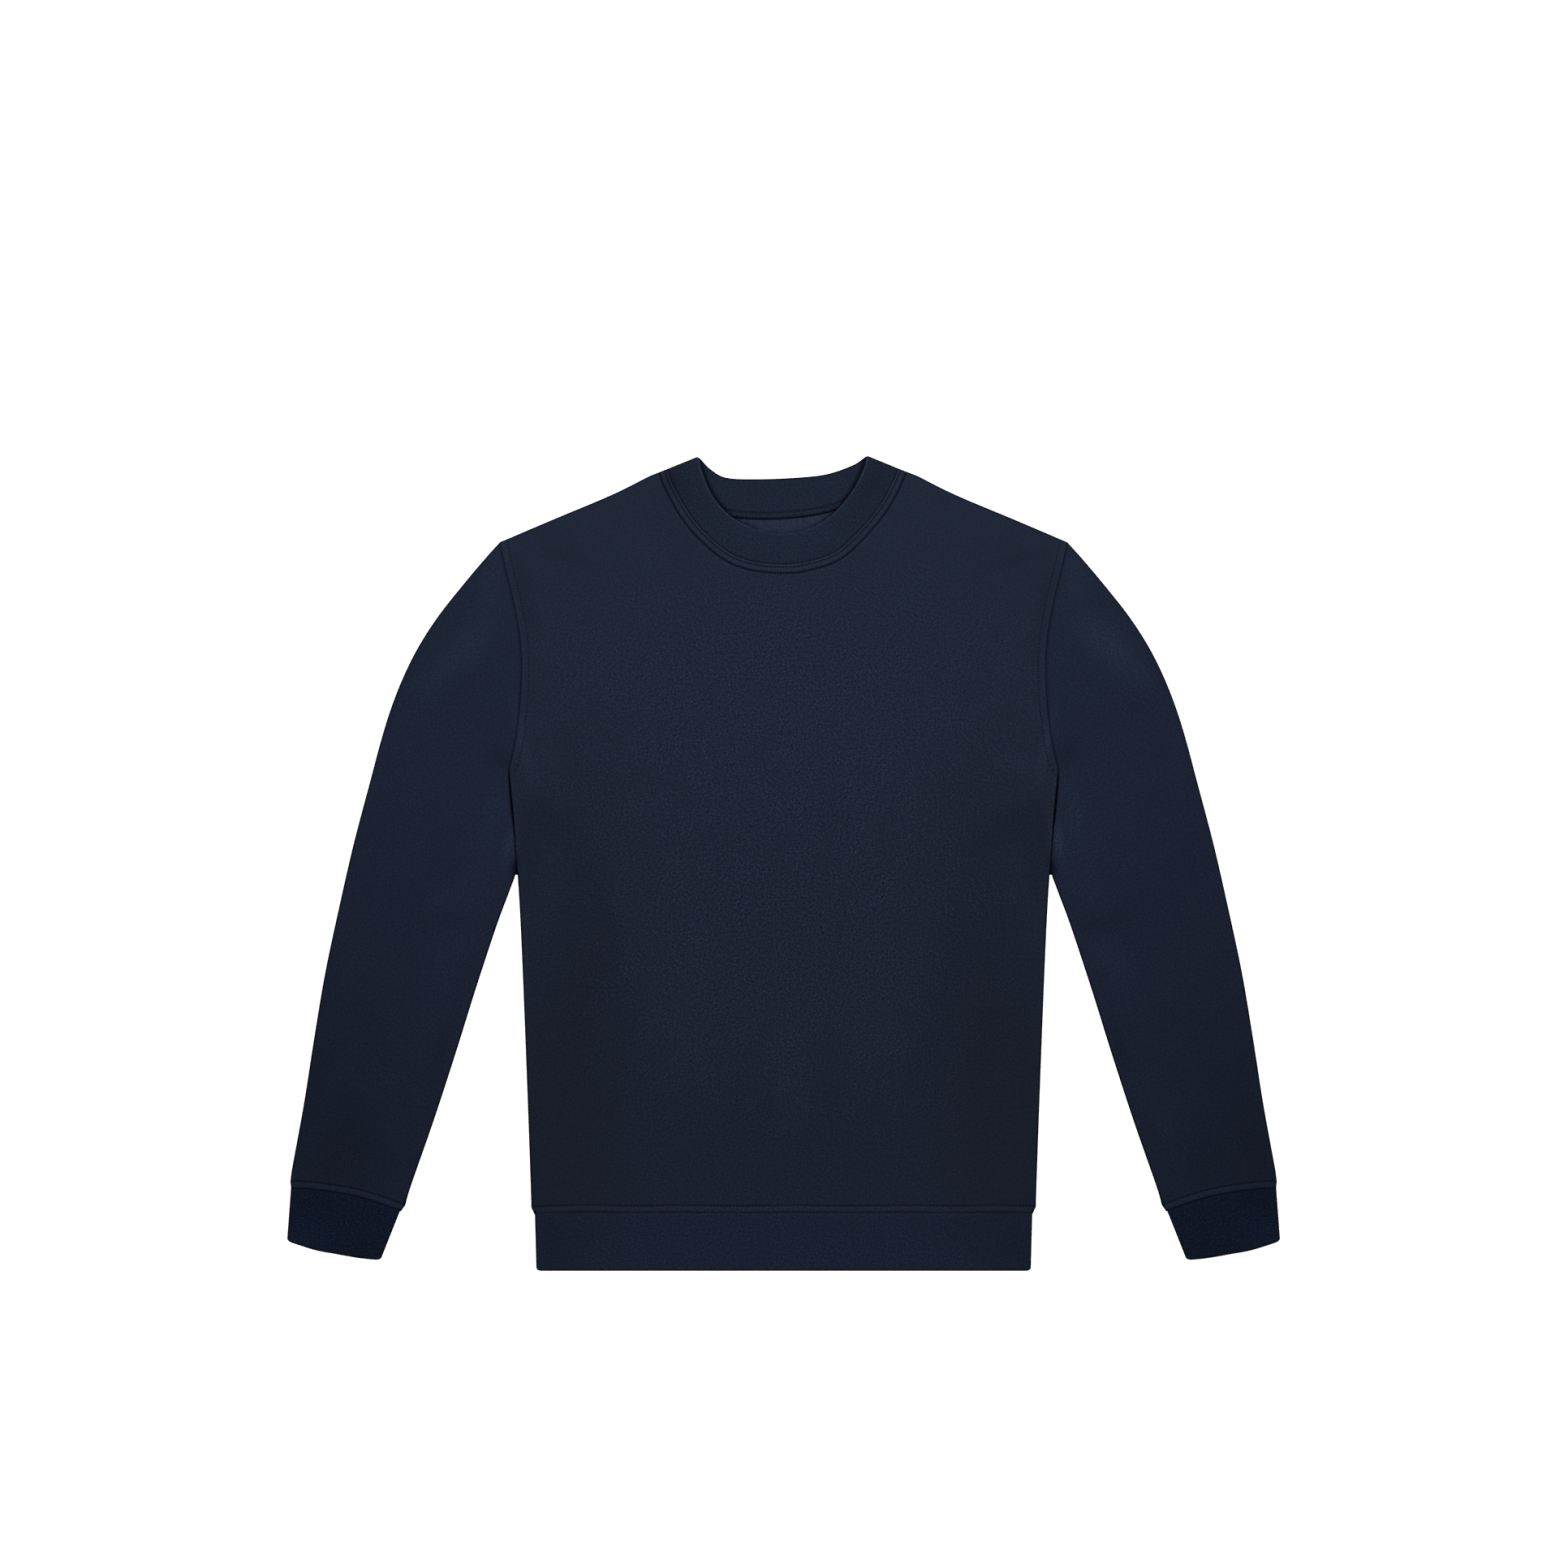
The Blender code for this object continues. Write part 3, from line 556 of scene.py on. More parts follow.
# A painted highlight on the body's edge, where the sleeve touches it
SIDE_LIGHT = 0.80
SIDE_LIGHT_WIDTH = 0.0014
SIDE_LAP = 0.0003
TOUCHING_ACROSS = 0.27  # beyond which there is only the sleeve's outer fold
TOUCHING_FADE = 0.004
TOUCHING_LAP = 0.001
INSIDE_LIGHT = 1.3
WALL_SHADE = 0.8  # of insides that never show
# Painted shadow under the front neckband's edge, and how the neckband's painted light and shadow spread
# across
BAND_SHADOW = 0.85
BAND_SHADOW_WIDTH = 0.0018
BAND_MIDDLE = 0.35  # share of the neckband's light and shadow at its middle
BAND_SIDES = 0.05  # how far across they are whole


def touching(points):
    """Where the body and the sleeve touch below the underarm: 1 there, and 0 elsewhere."""
    across, up = np.abs(points[..., 0]), points[..., 1]
    between = (up < SIDE_FOLD[0].up + TOUCHING_LAP) & (across < TOUCHING_ACROSS)
    return eased((up - TUCK_END) / TOUCHING_FADE) * between


def on_body(points):
    """Whether points are on the body and not on a sleeve."""
    side_across = np.interp(points[..., 1], BODY_SIDE[:, 1], BODY_SIDE[:, 0])
    return np.abs(points[..., 0]) < side_across + SIDE_LAP


def painted_shading(points):
    """Painted soft light and shadow, and painted shade along the outermost line, where the cloth turns under.

    Where the body and the sleeve touch, the body's edge has a painted highlight instead.
    """
    soft = 1 + sum(tone.amount * spread(points, tone) for tone in PAINTED_LIGHT_PATCHES)
    closed = touching(points)
    distance = distance_to(FOLDS, points, NEAR)
    light = SIDE_LIGHT * bell(distance, SIDE_LIGHT_WIDTH) * closed * on_body(points)
    distance = np.minimum(distance, distance_to(RIMS, points, NEAR))
    dark = EDGE_DARKNESS * (1 - eased((distance - EDGE_BLACK) / EDGE_FADE)) * (1 - closed)
    return soft * (1 - dark + light)


def more_at_sides(points):
    """The strength of the neckband's painted light and shadow: less at its middle than at its sides."""
    return BAND_MIDDLE + (1 - BAND_MIDDLE) * eased(np.abs(points[..., 0]) / BAND_SIDES)


def band_shadow(points):
    """Painted shadow on what lies under the front neckband's edge."""
    near = bell(distance_to([NECK_RIM], points, NEAR), BAND_SHADOW_WIDTH)
    return 1 - BAND_SHADOW * more_at_sides(points) * near


def inside_shade(points, upper):
    """The paler inside of the fleece; the back's shows in the neck, with the neckband's painted shadow."""
    if upper:
        return np.full(points.shape[:-1], INSIDE_LIGHT)
    return INSIDE_LIGHT * band_shadow(points)


# Meshes


def shown(name, data):
    """Makes an object and puts it in the scene."""
    thing = bpy.data.objects.new(name, data)
    bpy.context.scene.collection.objects.link(thing)
    return thing


class Mesh:
    """Grids of points, joined into one piece, with each point's painted shade and place in the knit."""

    def __init__(self):
        self.points, self.shades, self.knits, self.faces, self.caps = [], [], [], [], []
        self.count = 0

    def add_points(self, points, shade, knit):
        """Adds a grid and gives the numbers of its points. A knit is two lengths, across and along."""
        shape = points.shape[:-1]
        self.points.append(points.reshape(-1, 3))
        self.shades.append(np.broadcast_to(shade, shape).reshape(-1))
        self.knits.append(np.broadcast_to(knit, (*shape, 2)).reshape(-1, 2))
        numbers = self.count + np.arange(math.prod(shape)).reshape(shape)
        self.count += math.prod(shape)
        return numbers

    def join(self, numbers, ring=False):
        """Fills each grid with quads, and joins its last column to the first for a ring."""
        if ring:
            numbers = np.concatenate([numbers, numbers[..., :1]], axis=-1)
        low, high = numbers[..., :-1, :], numbers[..., 1:, :]
        corners = (low[..., :-1], low[..., 1:], high[..., 1:], high[..., :-1])
        self.faces.append(np.stack(corners, axis=-1).reshape(-1, 4))

    def join_rows(self, outside, inside, ring=False):
        """Joins the first and the last rows of two grids."""
        for row in (0, -1):
            self.join(np.stack([outside[row], inside[row]]), ring)

    def join_columns(self, outside, inside):
        """Joins the first and the last columns of two grids."""
        for column in (0, -1):
            self.join(np.stack([outside[:, column], inside[:, column]]))

    def cap(self, numbers):
        self.caps.append([int(number) for number in numbers])

    def add_threads(self, points, shade, knit):
        """Adds round threads with closed ends. Their points are by thread, along it and round it."""
        numbers = self.add_points(points, shade, knit)
        self.join(numbers, ring=True)
        for thread in numbers:
            self.cap(thread[0][::-1])
            self.cap(thread[-1])

    def filled(self, name):
        """Makes Blender's mesh of the points and faces."""
        data = bpy.data.meshes.new(name)
        quads = np.concatenate(self.faces)
        data.vertices.add(self.count)
        data.vertices.foreach_set("co", np.concatenate(self.points).astype(np.float32).ravel())
        corners = np.concatenate([quads.ravel(), *self.caps]).astype(np.int32)
        data.loops.add(len(corners))
        data.loops.foreach_set("vertex_index", corners)
        sizes = np.array([4] * len(quads) + [len(cap) for cap in self.caps])
        starts = np.concatenate([[0], np.cumsum(sizes)[:-1]]).astype(np.int32)
        data.polygons.add(len(sizes))
        data.polygons.foreach_set("loop_start", starts)
        data.update(calc_edges=True)
        data.validate()
        return data

    def add_attributes(self, data):
        shade = data.attributes.new("shade", "FLOAT", "POINT")
        shade.data.foreach_set("value", np.concatenate(self.shades).astype(np.float32))
        knit = data.attributes.new("knit", "FLOAT_VECTOR", "POINT")
        places = np.column_stack([np.concatenate(self.knits), np.zeros(self.count)])
        knit.data.foreach_set("vector", places.astype(np.float32).ravel())

    def piece(self, name, material, slot):
        """Makes the object, with its faces turned outwards, and lets it ride on the one body."""
        data = self.filled(name)
        self.add_attributes(data)
        turned = bmesh.new()
        turned.from_mesh(data)
        bmesh.ops.recalc_face_normals(turned, faces=turned.faces)
        turned.to_mesh(data)
        turned.free()
        data.shade_smooth()
        data.set_sharp_from_angle(angle=math.radians(SHARP_ANGLE))
        data.materials.append(material)
        piece = shown(name, data)
        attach(piece, "root")
        return piece


def closed_wall(outer, inner, shades, knits, ring=False):
    """One closed wall between two grids of the same size, with the shade and knit of each."""
    mesh = Mesh()
    outside = mesh.add_points(outer, shades[0], knits[0])
    inside = mesh.add_points(inner, shades[1], knits[1])
    mesh.join(outside, ring)
    mesh.join(inside, ring)
    mesh.join_rows(outside, inside, ring)
    if not ring:
        mesh.join_columns(outside, inside)
    return mesh


def grid_of(rows, columns):
    """Places in the knit of a grid, from a length for each row and one for each column."""
    return np.stack(np.broadcast_arrays(rows[:, None], columns), axis=-1)


def folded(upper, lower):
    """One ring of columns: the upper layer's, then the lower layer's on the way back, without its ends."""
    return np.concatenate([upper, lower[:, ::-1][:, 1:-1]], axis=1)


# Threads

THREAD_TURNS = np.radians(np.arange(0, 360, 60))
THREAD_STATIONS = np.array([-1, -0.7, 0, 0.7, 1])
THREAD_GIRTHS = np.array([0.15, 0.75, 1, 0.75, 0.15])
THREAD_RADIUS = 0.00026
THREAD_REACH = 0.28  # of a stitch, from a thread's middle to its end
THREAD_KNIT = 1.5 * THREAD_RADIUS  # of the knit for each radian round a thread


def round_points(centres, along, radius):
    """Points round the middle lines of threads, which run along the given unit vectors."""
    beside = unit(np.cross(along, [0.0, 0.0, 1.0]))
    above = np.cross(beside, along)
    turns = THREAD_TURNS[:, None]
    around = np.cos(turns) * beside[:, :, None] + np.sin(turns) * above[:, :, None]
    return centres[:, :, None] + radius * around


def add_stitches(mesh, row, outs, surface):
    """Adds the threads between the needle holes of a row, each a small spindle on the strip's face."""
    places = surface[:, int(np.argmin(np.abs(outs - row.out)))]
    starts = np.arange(0, len(places) - STITCH_SAMPLES, STITCH_SAMPLES)
    middle = places[starts + STITCH_SAMPLES // 2][:, None]
    along = unit(places[starts + STITCH_SAMPLES] - places[starts])[:, None]
    reach = THREAD_REACH * row.pitch * THREAD_STATIONS
    centres = middle + reach[:, None] * along
    points = round_points(centres, along, THREAD_RADIUS * THREAD_GIRTHS[:, None, None])
    mesh.add_threads(points, row.thread, grid_of(reach, THREAD_KNIT * THREAD_TURNS))


# Seam strips

UNDER_RELIEF = 0.42  # share of a seam's relief that its underside has
RELIEF_FADE = 0.003  # towards a fold
HOLE_DEPTH = 0.0004
# Painted shade in the needle holes
HOLE_DARKNESS = 0.85
INNER_LAP = 0.0003
INNER_COLUMNS = slice(None, None, 4)  # those of a strip's columns that its inner face has


def needle_holes(along, outs, rows):
    """How deep a strip is pricked, from 0 to 1, at lengths along it and places across it."""
    pricked = np.zeros((len(along), len(outs)))
    for row in rows:
        off = (along + row.pitch / 2) % row.pitch - row.pitch / 2
        spot = np.exp(-((off[:, None] / row.hole) ** 2) - ((outs - row.out) / row.hole) ** 2)
        pricked = np.maximum(pricked, spot)
    return pricked


def strip_rise(plan, profile_rise, pricked, upper):
    """How far a strip's face stands off the plain cloth's: its profile, less the needle holes."""
    rise = profile_rise - HOLE_DEPTH * pricked
    rise = rise * eased(distance_to(FOLDS, plan) / RELIEF_FADE)
    return rise if upper else -UNDER_RELIEF * rise


def seam_strip(name, seam, upper, material):
    """The turned cloth along a seam: a wall whose outer face has the profile and its needle holes."""
    outs, rise, profile_shade = np.array(seam.finish.columns).T
    rows = seam.finish.rows
    plan = strip_plan(seam, outs)
    along = np.linspace(0, length_of(seam.line), len(seam.line))
    pricked = needle_holes(along, outs, rows)
    # Painted shade and light: the profile's dark seam and grooves and lighter raised edges, and darker needle
    # holes
    shade = profile_shade * (1 - HOLE_DARKNESS * pricked) * painted_shading(plan)
    knit = grid_of(along, outs)
    outer = placed(plan, outer_heights(plan, upper) + strip_rise(plan, rise, pricked, upper))
    inner_plan = strip_plan(seam, np.minimum(outs[INNER_COLUMNS], outs[-1] - STRIP_LAP + INNER_LAP))
    inner = placed(inner_plan, inner_heights(inner_plan, upper))
    mesh = Mesh()
    outside = mesh.add_points(outer, shade, knit)
    inside = mesh.add_points(inner, inside_shade(inner_plan, upper), knit[:, INNER_COLUMNS])
    for row in rows:
        add_stitches(mesh, row, outs, outer)
    mesh.join(outside)
    mesh.join(inside)
    mesh.join_columns(outside, inside)
    for row in (0, -1):
        mesh.cap([*outside[row], *inside[row][::-1]])
    return mesh.piece(name, material, "fleece")


# Panels

INSET_STEP = 0.0002


def outer_insets():
    """Distances in from a fold, of points evenly spaced round a quarter of its turn."""
    angles = np.radians(np.linspace(0, 90, FOLD_STEPS + 1))
    return fold_radius() * (1 - np.cos(angles))


def inner_insets():
    return FLEECE_WALL + INSET_STEP * np.arange(FOLD_STEPS + 1)


def panel_edge(step):
    """A panel's edge on the wearer's left: from the hem's strip up the side fold, then round the armhole."""
    armhole = stop_line(ARMHOLE[LEFT])
    hem_up = HEM.line[0, 1] + HEM_PROFILE[-1].out - STRIP_LAP
    fold = smooth_curve(SIDE_FOLD, count=400)[::-1]
    start = (np.interp(hem_up, fold[:, 1], fold[:, 0]), hem_up)
    apart = step / 4
    fold = fold[(fold[:, 1] > hem_up + apart) & (fold[:, 1] < armhole[0, 1] - apart)]
    return stepped(np.vstack([start, fold, armhole]), step)


def panel_top(edge, neck, step):
    """A panel's top from the wearer's right to the left: shoulder fold, neckline, shoulder fold."""
    neckline = stop_line(neck)
    apart = step / 4
    shoulders = {}
    for side, end in ((RIGHT, neckline[0]), (LEFT, neckline[-1])):
        fold = shoulder_line(side, count=60)
        across = np.abs(fold[:, 0])
        between = (across < edge[-1, 0] - apart) & (across > abs(end[0]) + apart)
        shoulders[side] = stepped(np.vstack([mirrored(edge[-1], side), fold[between], end]), step)
    return np.vstack([shoulders[RIGHT][:-1], stepped(neckline, step), shoulders[LEFT][:-1][::-1]])


def panel_plan(edge, top, insets, top_insets):
    """Plan points. Columns run up from the hem, and the outermost ones lie at the insets from the edges."""
    rims = len(insets)
    hem, shoulder = edge[0, 1], edge[-1, 1]
    run, rise = np.abs(way(SHOULDER_FOLD[0], SHOULDER_FOLD[-1]))
    upright = math.hypot(run, rise) / run  # from a distance square to the shoulder fold to one straight up
    head, tail = way(top[0], top[1]), way(top[-1], top[-2])
    first = top[0] + insets[:, None] * unit(head)
    last = (top[-1] + insets[:, None] * unit(tail))[::-1]
    top = np.vstack([first, top[1:-1], last])
    height = top[:, 1]
    share = (edge[:-1, 1] - hem) / (shoulder - hem)
    body = hem + share[:, None] * (height - hem)
    up = np.vstack([body, height - top_insets[::-1, None] * upright])
    half_width = np.interp(up, edge[:, 1], edge[:, 0])
    across = top[:, 0] * half_width / np.interp(height, edge[:, 1], edge[:, 0])
    across[:, :rims] = -(half_width[:, :rims] - insets)
    across[:, -rims:] = half_width[:, -rims:] - insets[::-1]
    return np.stack([across, up], axis=-1)


def panel(name, upper, neck, step, material):
    """The front or the back, without the strips along its seams."""
    edge = panel_edge(step)
    top = panel_top(edge, neck, step)
    insets = outer_insets()
    plan = panel_plan(edge, top, insets, insets)
    inner_plan = panel_plan(edge, top, inner_insets(), insets + INNER_LAP)
    outer = placed(plan, outer_heights(plan, upper))
    inner = placed(inner_plan, inner_heights(inner_plan, upper))
    shades = painted_shading(plan), inside_shade(inner_plan, upper)
    return closed_wall(outer, inner, shades, (plan, inner_plan)).piece(name, material, "fleece")


# Sleeves

SEAM_DIP = 0.0007
SEAM_DIP_REACH = 0.0030
UNDER_DIP = 0.5  # share of a dip that the lower layer has
SLEEVE_TUCK = 0.0006  # of the sleeve under the armhole's strip
# Painted shade on the sleeve along the armhole's seam
SLEEVE_SEAM_DARKNESS = 0.45
SLEEVE_SEAM_WIDTH = 0.0014
SLEEVE_HEAD = (0, 0.0008, 0.0016, 0.0026)  # the first rows of a sleeve, from the shoulder's point


def rimmed(line, insets):
    """Replaces each end of a polyline by points at the insets from it, and moves the others in."""
    run = run_along(line)
    length = run[-1]
    between = insets[-1] + (length - 2 * insets[-1]) * run[1:-1] / length
    return spaced(line, np.concatenate([insets, between, length - insets[::-1]]) / length)


def sleeve_rows():
    """Where the rows of a sleeve are, as shares of its length."""
    length = length_of(smooth_curve(SLEEVE_OUTER_FOLD, count=500))
    half_step = SLEEVE_STEP / 2
    rows = np.arange(SLEEVE_HEAD[-1] + half_step, length - half_step, SLEEVE_STEP)
    return np.concatenate([SLEEVE_HEAD, rows, [length]]) / length


def bow(line, shares):
    """How far a line's points are from the straight between its ends."""
    return line - (line[0] + shares * way(line[0], line[-1]))


def sleeve_plan(side):
    """Plan lines across a sleeve, from its outer to its inner fold, tucked under both of its seams."""
    seam = ARMHOLE[LEFT]
    tucked = (seam.line + SLEEVE_TUCK * seam.out)[::-1]
    stop = stop_line(SLEEVE_END[LEFT])
    across = np.linspace(0, 1, round(length_of(tucked) / SLEEVE_STEP))
    armhole = spaced(tucked, 1 - (1 - across) ** ARMHOLE_EASE)
    cuff_end = spaced(stop, across)
    down = sleeve_rows()
    outer = curve_at(SLEEVE_OUTER_FOLD[:-1] + (stop[0],), down)
    inner = curve_at(SLEEVE_INNER_FOLD[:-1] + (stop[-1],), down**UNDERARM_EASE)
    outer[0], inner[0] = armhole[0], armhole[-1]
    across, down = across[:, None], down[:, None, None]
    straight = outer[:, None] + across * (inner - outer)[:, None]
    bowed = (1 - down) ** 2 * bow(armhole, across) + down**2 * bow(cuff_end, across)
    return mirrored(straight + bowed, side)


def sleeve(name, side, material):
    """One sleeve: a flattened tube, which dips along the armhole's seam and has painted shade there."""
    lines = sleeve_plan(side)
    plan = np.array([rimmed(line, outer_insets()) for line in lines])
    inner_plan = np.array([rimmed(line, inner_insets()) for line in lines])
    from_seam = distance_to([ARMHOLE[side].line], plan, NEAR)
    dip = SEAM_DIP * (1 - eased(from_seam / SEAM_DIP_REACH))
    upper = np.maximum(outer_heights(plan, True) - dip, fold_radius())
    lower = outer_heights(plan, False) + UNDER_DIP * dip
    outer = folded(placed(plan, upper), placed(plan, lower))
    inner_layers = [inner_heights(inner_plan, layer) for layer in (True, False)]
    inner = folded(*[placed(inner_plan, heights) for heights in inner_layers])
    shade = painted_shading(plan) * (1 - SLEEVE_SEAM_DARKNESS * bell(from_seam, SLEEVE_SEAM_WIDTH))
    knit = folded(plan, plan)
    mesh = closed_wall(outer, inner, (folded(shade, shade), WALL_SHADE), (knit, knit), ring=True)
    return mesh.piece(name, material, "fleece")


# Bands of rib, folded double

RIB_PITCH = 0.00145
RIB_RELIEF = np.array([0.00011, 0.00005, -0.00010, 0.00005])  # over the points of a rib
# Painted light on the ribs' crests and painted shade in their valleys
RIB_SHADES = np.array([1.02, 1.00, 0.95, 1.00])
# Painted shade along a band's seam
RIB_SEAM_DARKNESS = 0.6
RIB_SEAM_WIDTH = 0.0007
RIB_DIP = 0.0009
RIB_DIP_REACH = 0.002
RIB_UNDER_DIP = 0.4  # share of a dip that the lower half has
BAND_TUCK = (-0.0010, 0.0, 0.0008, 0.0018, 0.0030)  # the first rows of a band, down from its seam
BAND_ROW_STEP = 0.006
LAST_ROW_STEP = 0.0007
EDGE_ANGLES = (60, 30, 0, -30, -60)  # round a folded edge
CORNER = 0.0014  # how much a band's corners are rounded
CORNER_REACH = 0.0040
# A painted highlight on the front neckband's free edge
FRONT_EDGE_LIGHT = 0.9
FRONT_EDGE_IN = 0.0008
FRONT_EDGE_WIDTH = 0.0007
HEM_HALF = BandHalf(HEM_SEAM, HEM_EDGE, ribs=304)
NECK_FRONT_HALF = BandHalf(NECK_FRONT_SEAM, NECK_FRONT_EDGE, ribs=188)
NECK_BACK_HALF = BandHalf(NECK_BACK_SEAM, NECK_BACK_EDGE, ribs=150)
NECK_CORNER = 0.0004
NECK_ROW_STEP = 0.0022


def cuff_half(side):
    return BandHalf(mirrored(CUFF_TOP, side), mirrored(CUFF_EDGE, side), ribs=66)


def band_lines(half, corner):
    """A half's seam and free edge, the edge's corners rounded."""
    samples = half.ribs * KNIT_SAMPLES + 1
    seam, edge = smooth_curve(half.seam, samples), smooth_curve(half.edge, samples)
    share = np.linspace(0, 1, samples)
    from_end = np.minimum(share, 1 - share) * length_of(edge) / CORNER_REACH
    pulled = corner * np.clip(1 - from_end, 0, 1) ** 2
    return seam, edge + pulled[:, None] * unit(seam - edge)


def band_rows(depth, row_step):
    """How far down from the seam each row is, and its share of the outer face.

    The rows go down the outer face to the free edge, round it, and up the inner face.
    """
    nose = RIB_WALL / 2
    flat = np.linspace(BAND_TUCK[-1], depth - nose - LAST_ROW_STEP, max(3, round(depth / row_step)))[1:]
    face = np.concatenate([BAND_TUCK, flat, [depth - nose]])
    turns = np.radians(EDGE_ANGLES)
    down = np.concatenate([face, depth - nose * (1 - np.cos(turns)), face[::-1]])
    outside = np.concatenate([np.ones(len(face)), (1 + np.sin(turns)) / 2, np.zeros(len(face))])
    return down, outside


def band_half(lines, down, outside, upper):
    """The points and plan points of one half, which is lower where its seam goes under the fleece."""
    seam, edge = lines
    free_edge = down.max()
    share = (down / free_edge)[:, None, None]
    plan = seam + share * (edge - seam)
    inset = RIB_WALL / length_of(edge)
    places = np.linspace(inset, 1 - inset, len(seam))
    inner_seam, inner_edge = spaced(seam, places), spaced(edge, places)
    inner_plan = inner_seam + share * (inner_edge - inner_seam)
    dip = (1 - eased(down / RIB_DIP_REACH))[:, None] * eased(distance_to(FOLDS, plan) / fold_radius(RIB_WALL))
    drop = RIB_DIP * dip if upper else -RIB_UNDER_DIP * RIB_DIP * dip
    outer = placed(plan, outer_heights(plan, upper, RIB_WALL) - drop)
    inner = placed(inner_plan, inner_heights(inner_plan, upper, RIB_WALL))
    return inner + outside[:, None, None] * (outer - inner), plan


def outward_normals(points):
    """Unit normals of a grid whose rows and columns are both rings, up from its upper half's outer face."""
    along = np.roll(points, -1, axis=1) - np.roll(points, 1, axis=1)
    beside = np.roll(points, -1, axis=0) - np.roll(points, 1, axis=0)
    away = unit(np.cross(along, beside))
    return away * np.sign(away[len(BAND_TUCK) + 1, points.shape[1] // 4, 2])


def neckband_light(plan, outside, from_edge, front_columns):
    """Painted light on the front's free edge, and its painted shadow on the inside of the back."""
    inside = (outside < 0.5)[:, None]
    front = np.arange(plan.shape[1]) < front_columns
    edge_light = bell(from_edge - FRONT_EDGE_IN, FRONT_EDGE_WIDTH)[:, None]
    lit = 1 + FRONT_EDGE_LIGHT * more_at_sides(plan) * edge_light
    return np.where(front & ~inside, lit, 1) * np.where(~front & inside, band_shadow(plan), 1)


def rib_ring(name, front, back, slot, material, corner=CORNER, row_step=BAND_ROW_STEP, light=None):
    """A ring of rib, folded double: ribbed on each side, with a round free edge."""
    front_lines, back_lines = band_lines(front, corner), band_lines(back, corner)
    depth = max(np.linalg.norm(edge - seam, axis=1).max() for seam, edge in (front_lines, back_lines))
    down, outside = band_rows(depth, row_step)
    front_points, front_plan = band_half(front_lines, down, outside, True)
    back_points, back_plan = band_half(back_lines, down, outside, False)
    points, plan = folded(front_points, back_points), folded(front_plan, back_plan)
    columns = np.arange(points.shape[1])
    points = points + RIB_RELIEF[columns % KNIT_SAMPLES, None] * outward_normals(points)
    points[..., 2] = np.maximum(points[..., 2], 0)
    # Painted shade at the seam and on the ribs, and the painted shading of the edges
    seam_dark = 1 - RIB_SEAM_DARKNESS * bell(down, RIB_SEAM_WIDTH)
    shade = RIB_SHADES[columns % KNIT_SAMPLES] * painted_shading(plan) * seam_dark[:, None]
    if light is not None:
        shade = shade * light(plan, outside, depth - down, front_plan.shape[1])
    knit = np.stack(np.broadcast_arrays(columns * RIB_PITCH / KNIT_SAMPLES, down[:, None]), axis=-1)
    mesh = Mesh()
    numbers = mesh.add_points(points, shade, knit)
    mesh.join(np.vstack([numbers, numbers[:1]]), ring=True)
    return mesh.piece(name, material, slot)


# Trim

OVERLOCK_IN = 0.0001  # from the seam to the overlock's edge
OVERLOCK_OUT = 0.0030  # from the seam to the ridge's top
OVERLOCK_HALF_WIDTH = 0.0020
OVERLOCK_HEIGHT = 0.0012
OVERLOCK_BASE = 0.00005
OVERLOCK_UNDER = 0.0003
# A flat strip beyond the ridge, painted near black as the ridge's shadow
OVERLOCK_SHADOW_OUTS = (0.0058, 0.0068)
# Painted shade across the overlock: dark at the ridge's feet, lighter on its top, near black on the shadow
# strip
OVERLOCK_SHADES = np.array([0.6, 0.3, 0.6, 0.8, 0.9, 0.95, 0.9, 0.8, 0.5, 0.08, 0.08, 0.7])
OVERLOCK_UNDER_SHADE = 0.5
OVERLOCK_PITCH = 0.0020
OVERLOCK_SLANT = 0.0024
LOOP_ANGLES = np.radians(np.linspace(8, 172, 8))
LOOP_LIFT = 0.0001
LOOP_RADIUS = 0.00050
LOOP_SHADE = 1.40
# The tuck is painted near black, as the shadow in the gap between body and sleeve
TUCK_PAINTED_SHADOW = 0.08
TUCK_LAP = 0.002
TUCK_HEIGHTS = (0.0020, 0.0016, 0.0020)
TUCK_UNDER = 0.0006


def overlock(material):
    """The overlock inside the back of the neck: a ridge, its painted shadow, and the threads round it."""
    angles = np.radians(np.linspace(0, 180, 9))
    line, way_out = NECK_BACK.line[::2], NECK_BACK.out[::2]
    ridge = OVERLOCK_OUT - OVERLOCK_HALF_WIDTH * np.cos(angles)
    outs = np.concatenate([[OVERLOCK_IN], ridge, OVERLOCK_SHADOW_OUTS])
    rise = np.concatenate([[0], OVERLOCK_HEIGHT * np.sin(angles), [0, 0]]) + OVERLOCK_BASE
    plan = line[:, None] + outs[:, None] * way_out[:, None]
    base = inner_heights(plan, False)
    top, under = placed(plan, base + rise), placed(plan, base - OVERLOCK_UNDER)
    knit = grid_of(np.linspace(0, length_of(line), len(plan)), outs)
    shades = OVERLOCK_SHADES * band_shadow(plan), OVERLOCK_UNDER_SHADE
    mesh = closed_wall(top, under, shades, (knit, knit))
    add_loops(mesh)
    return mesh.piece("neck_overlock", material, "fleece")


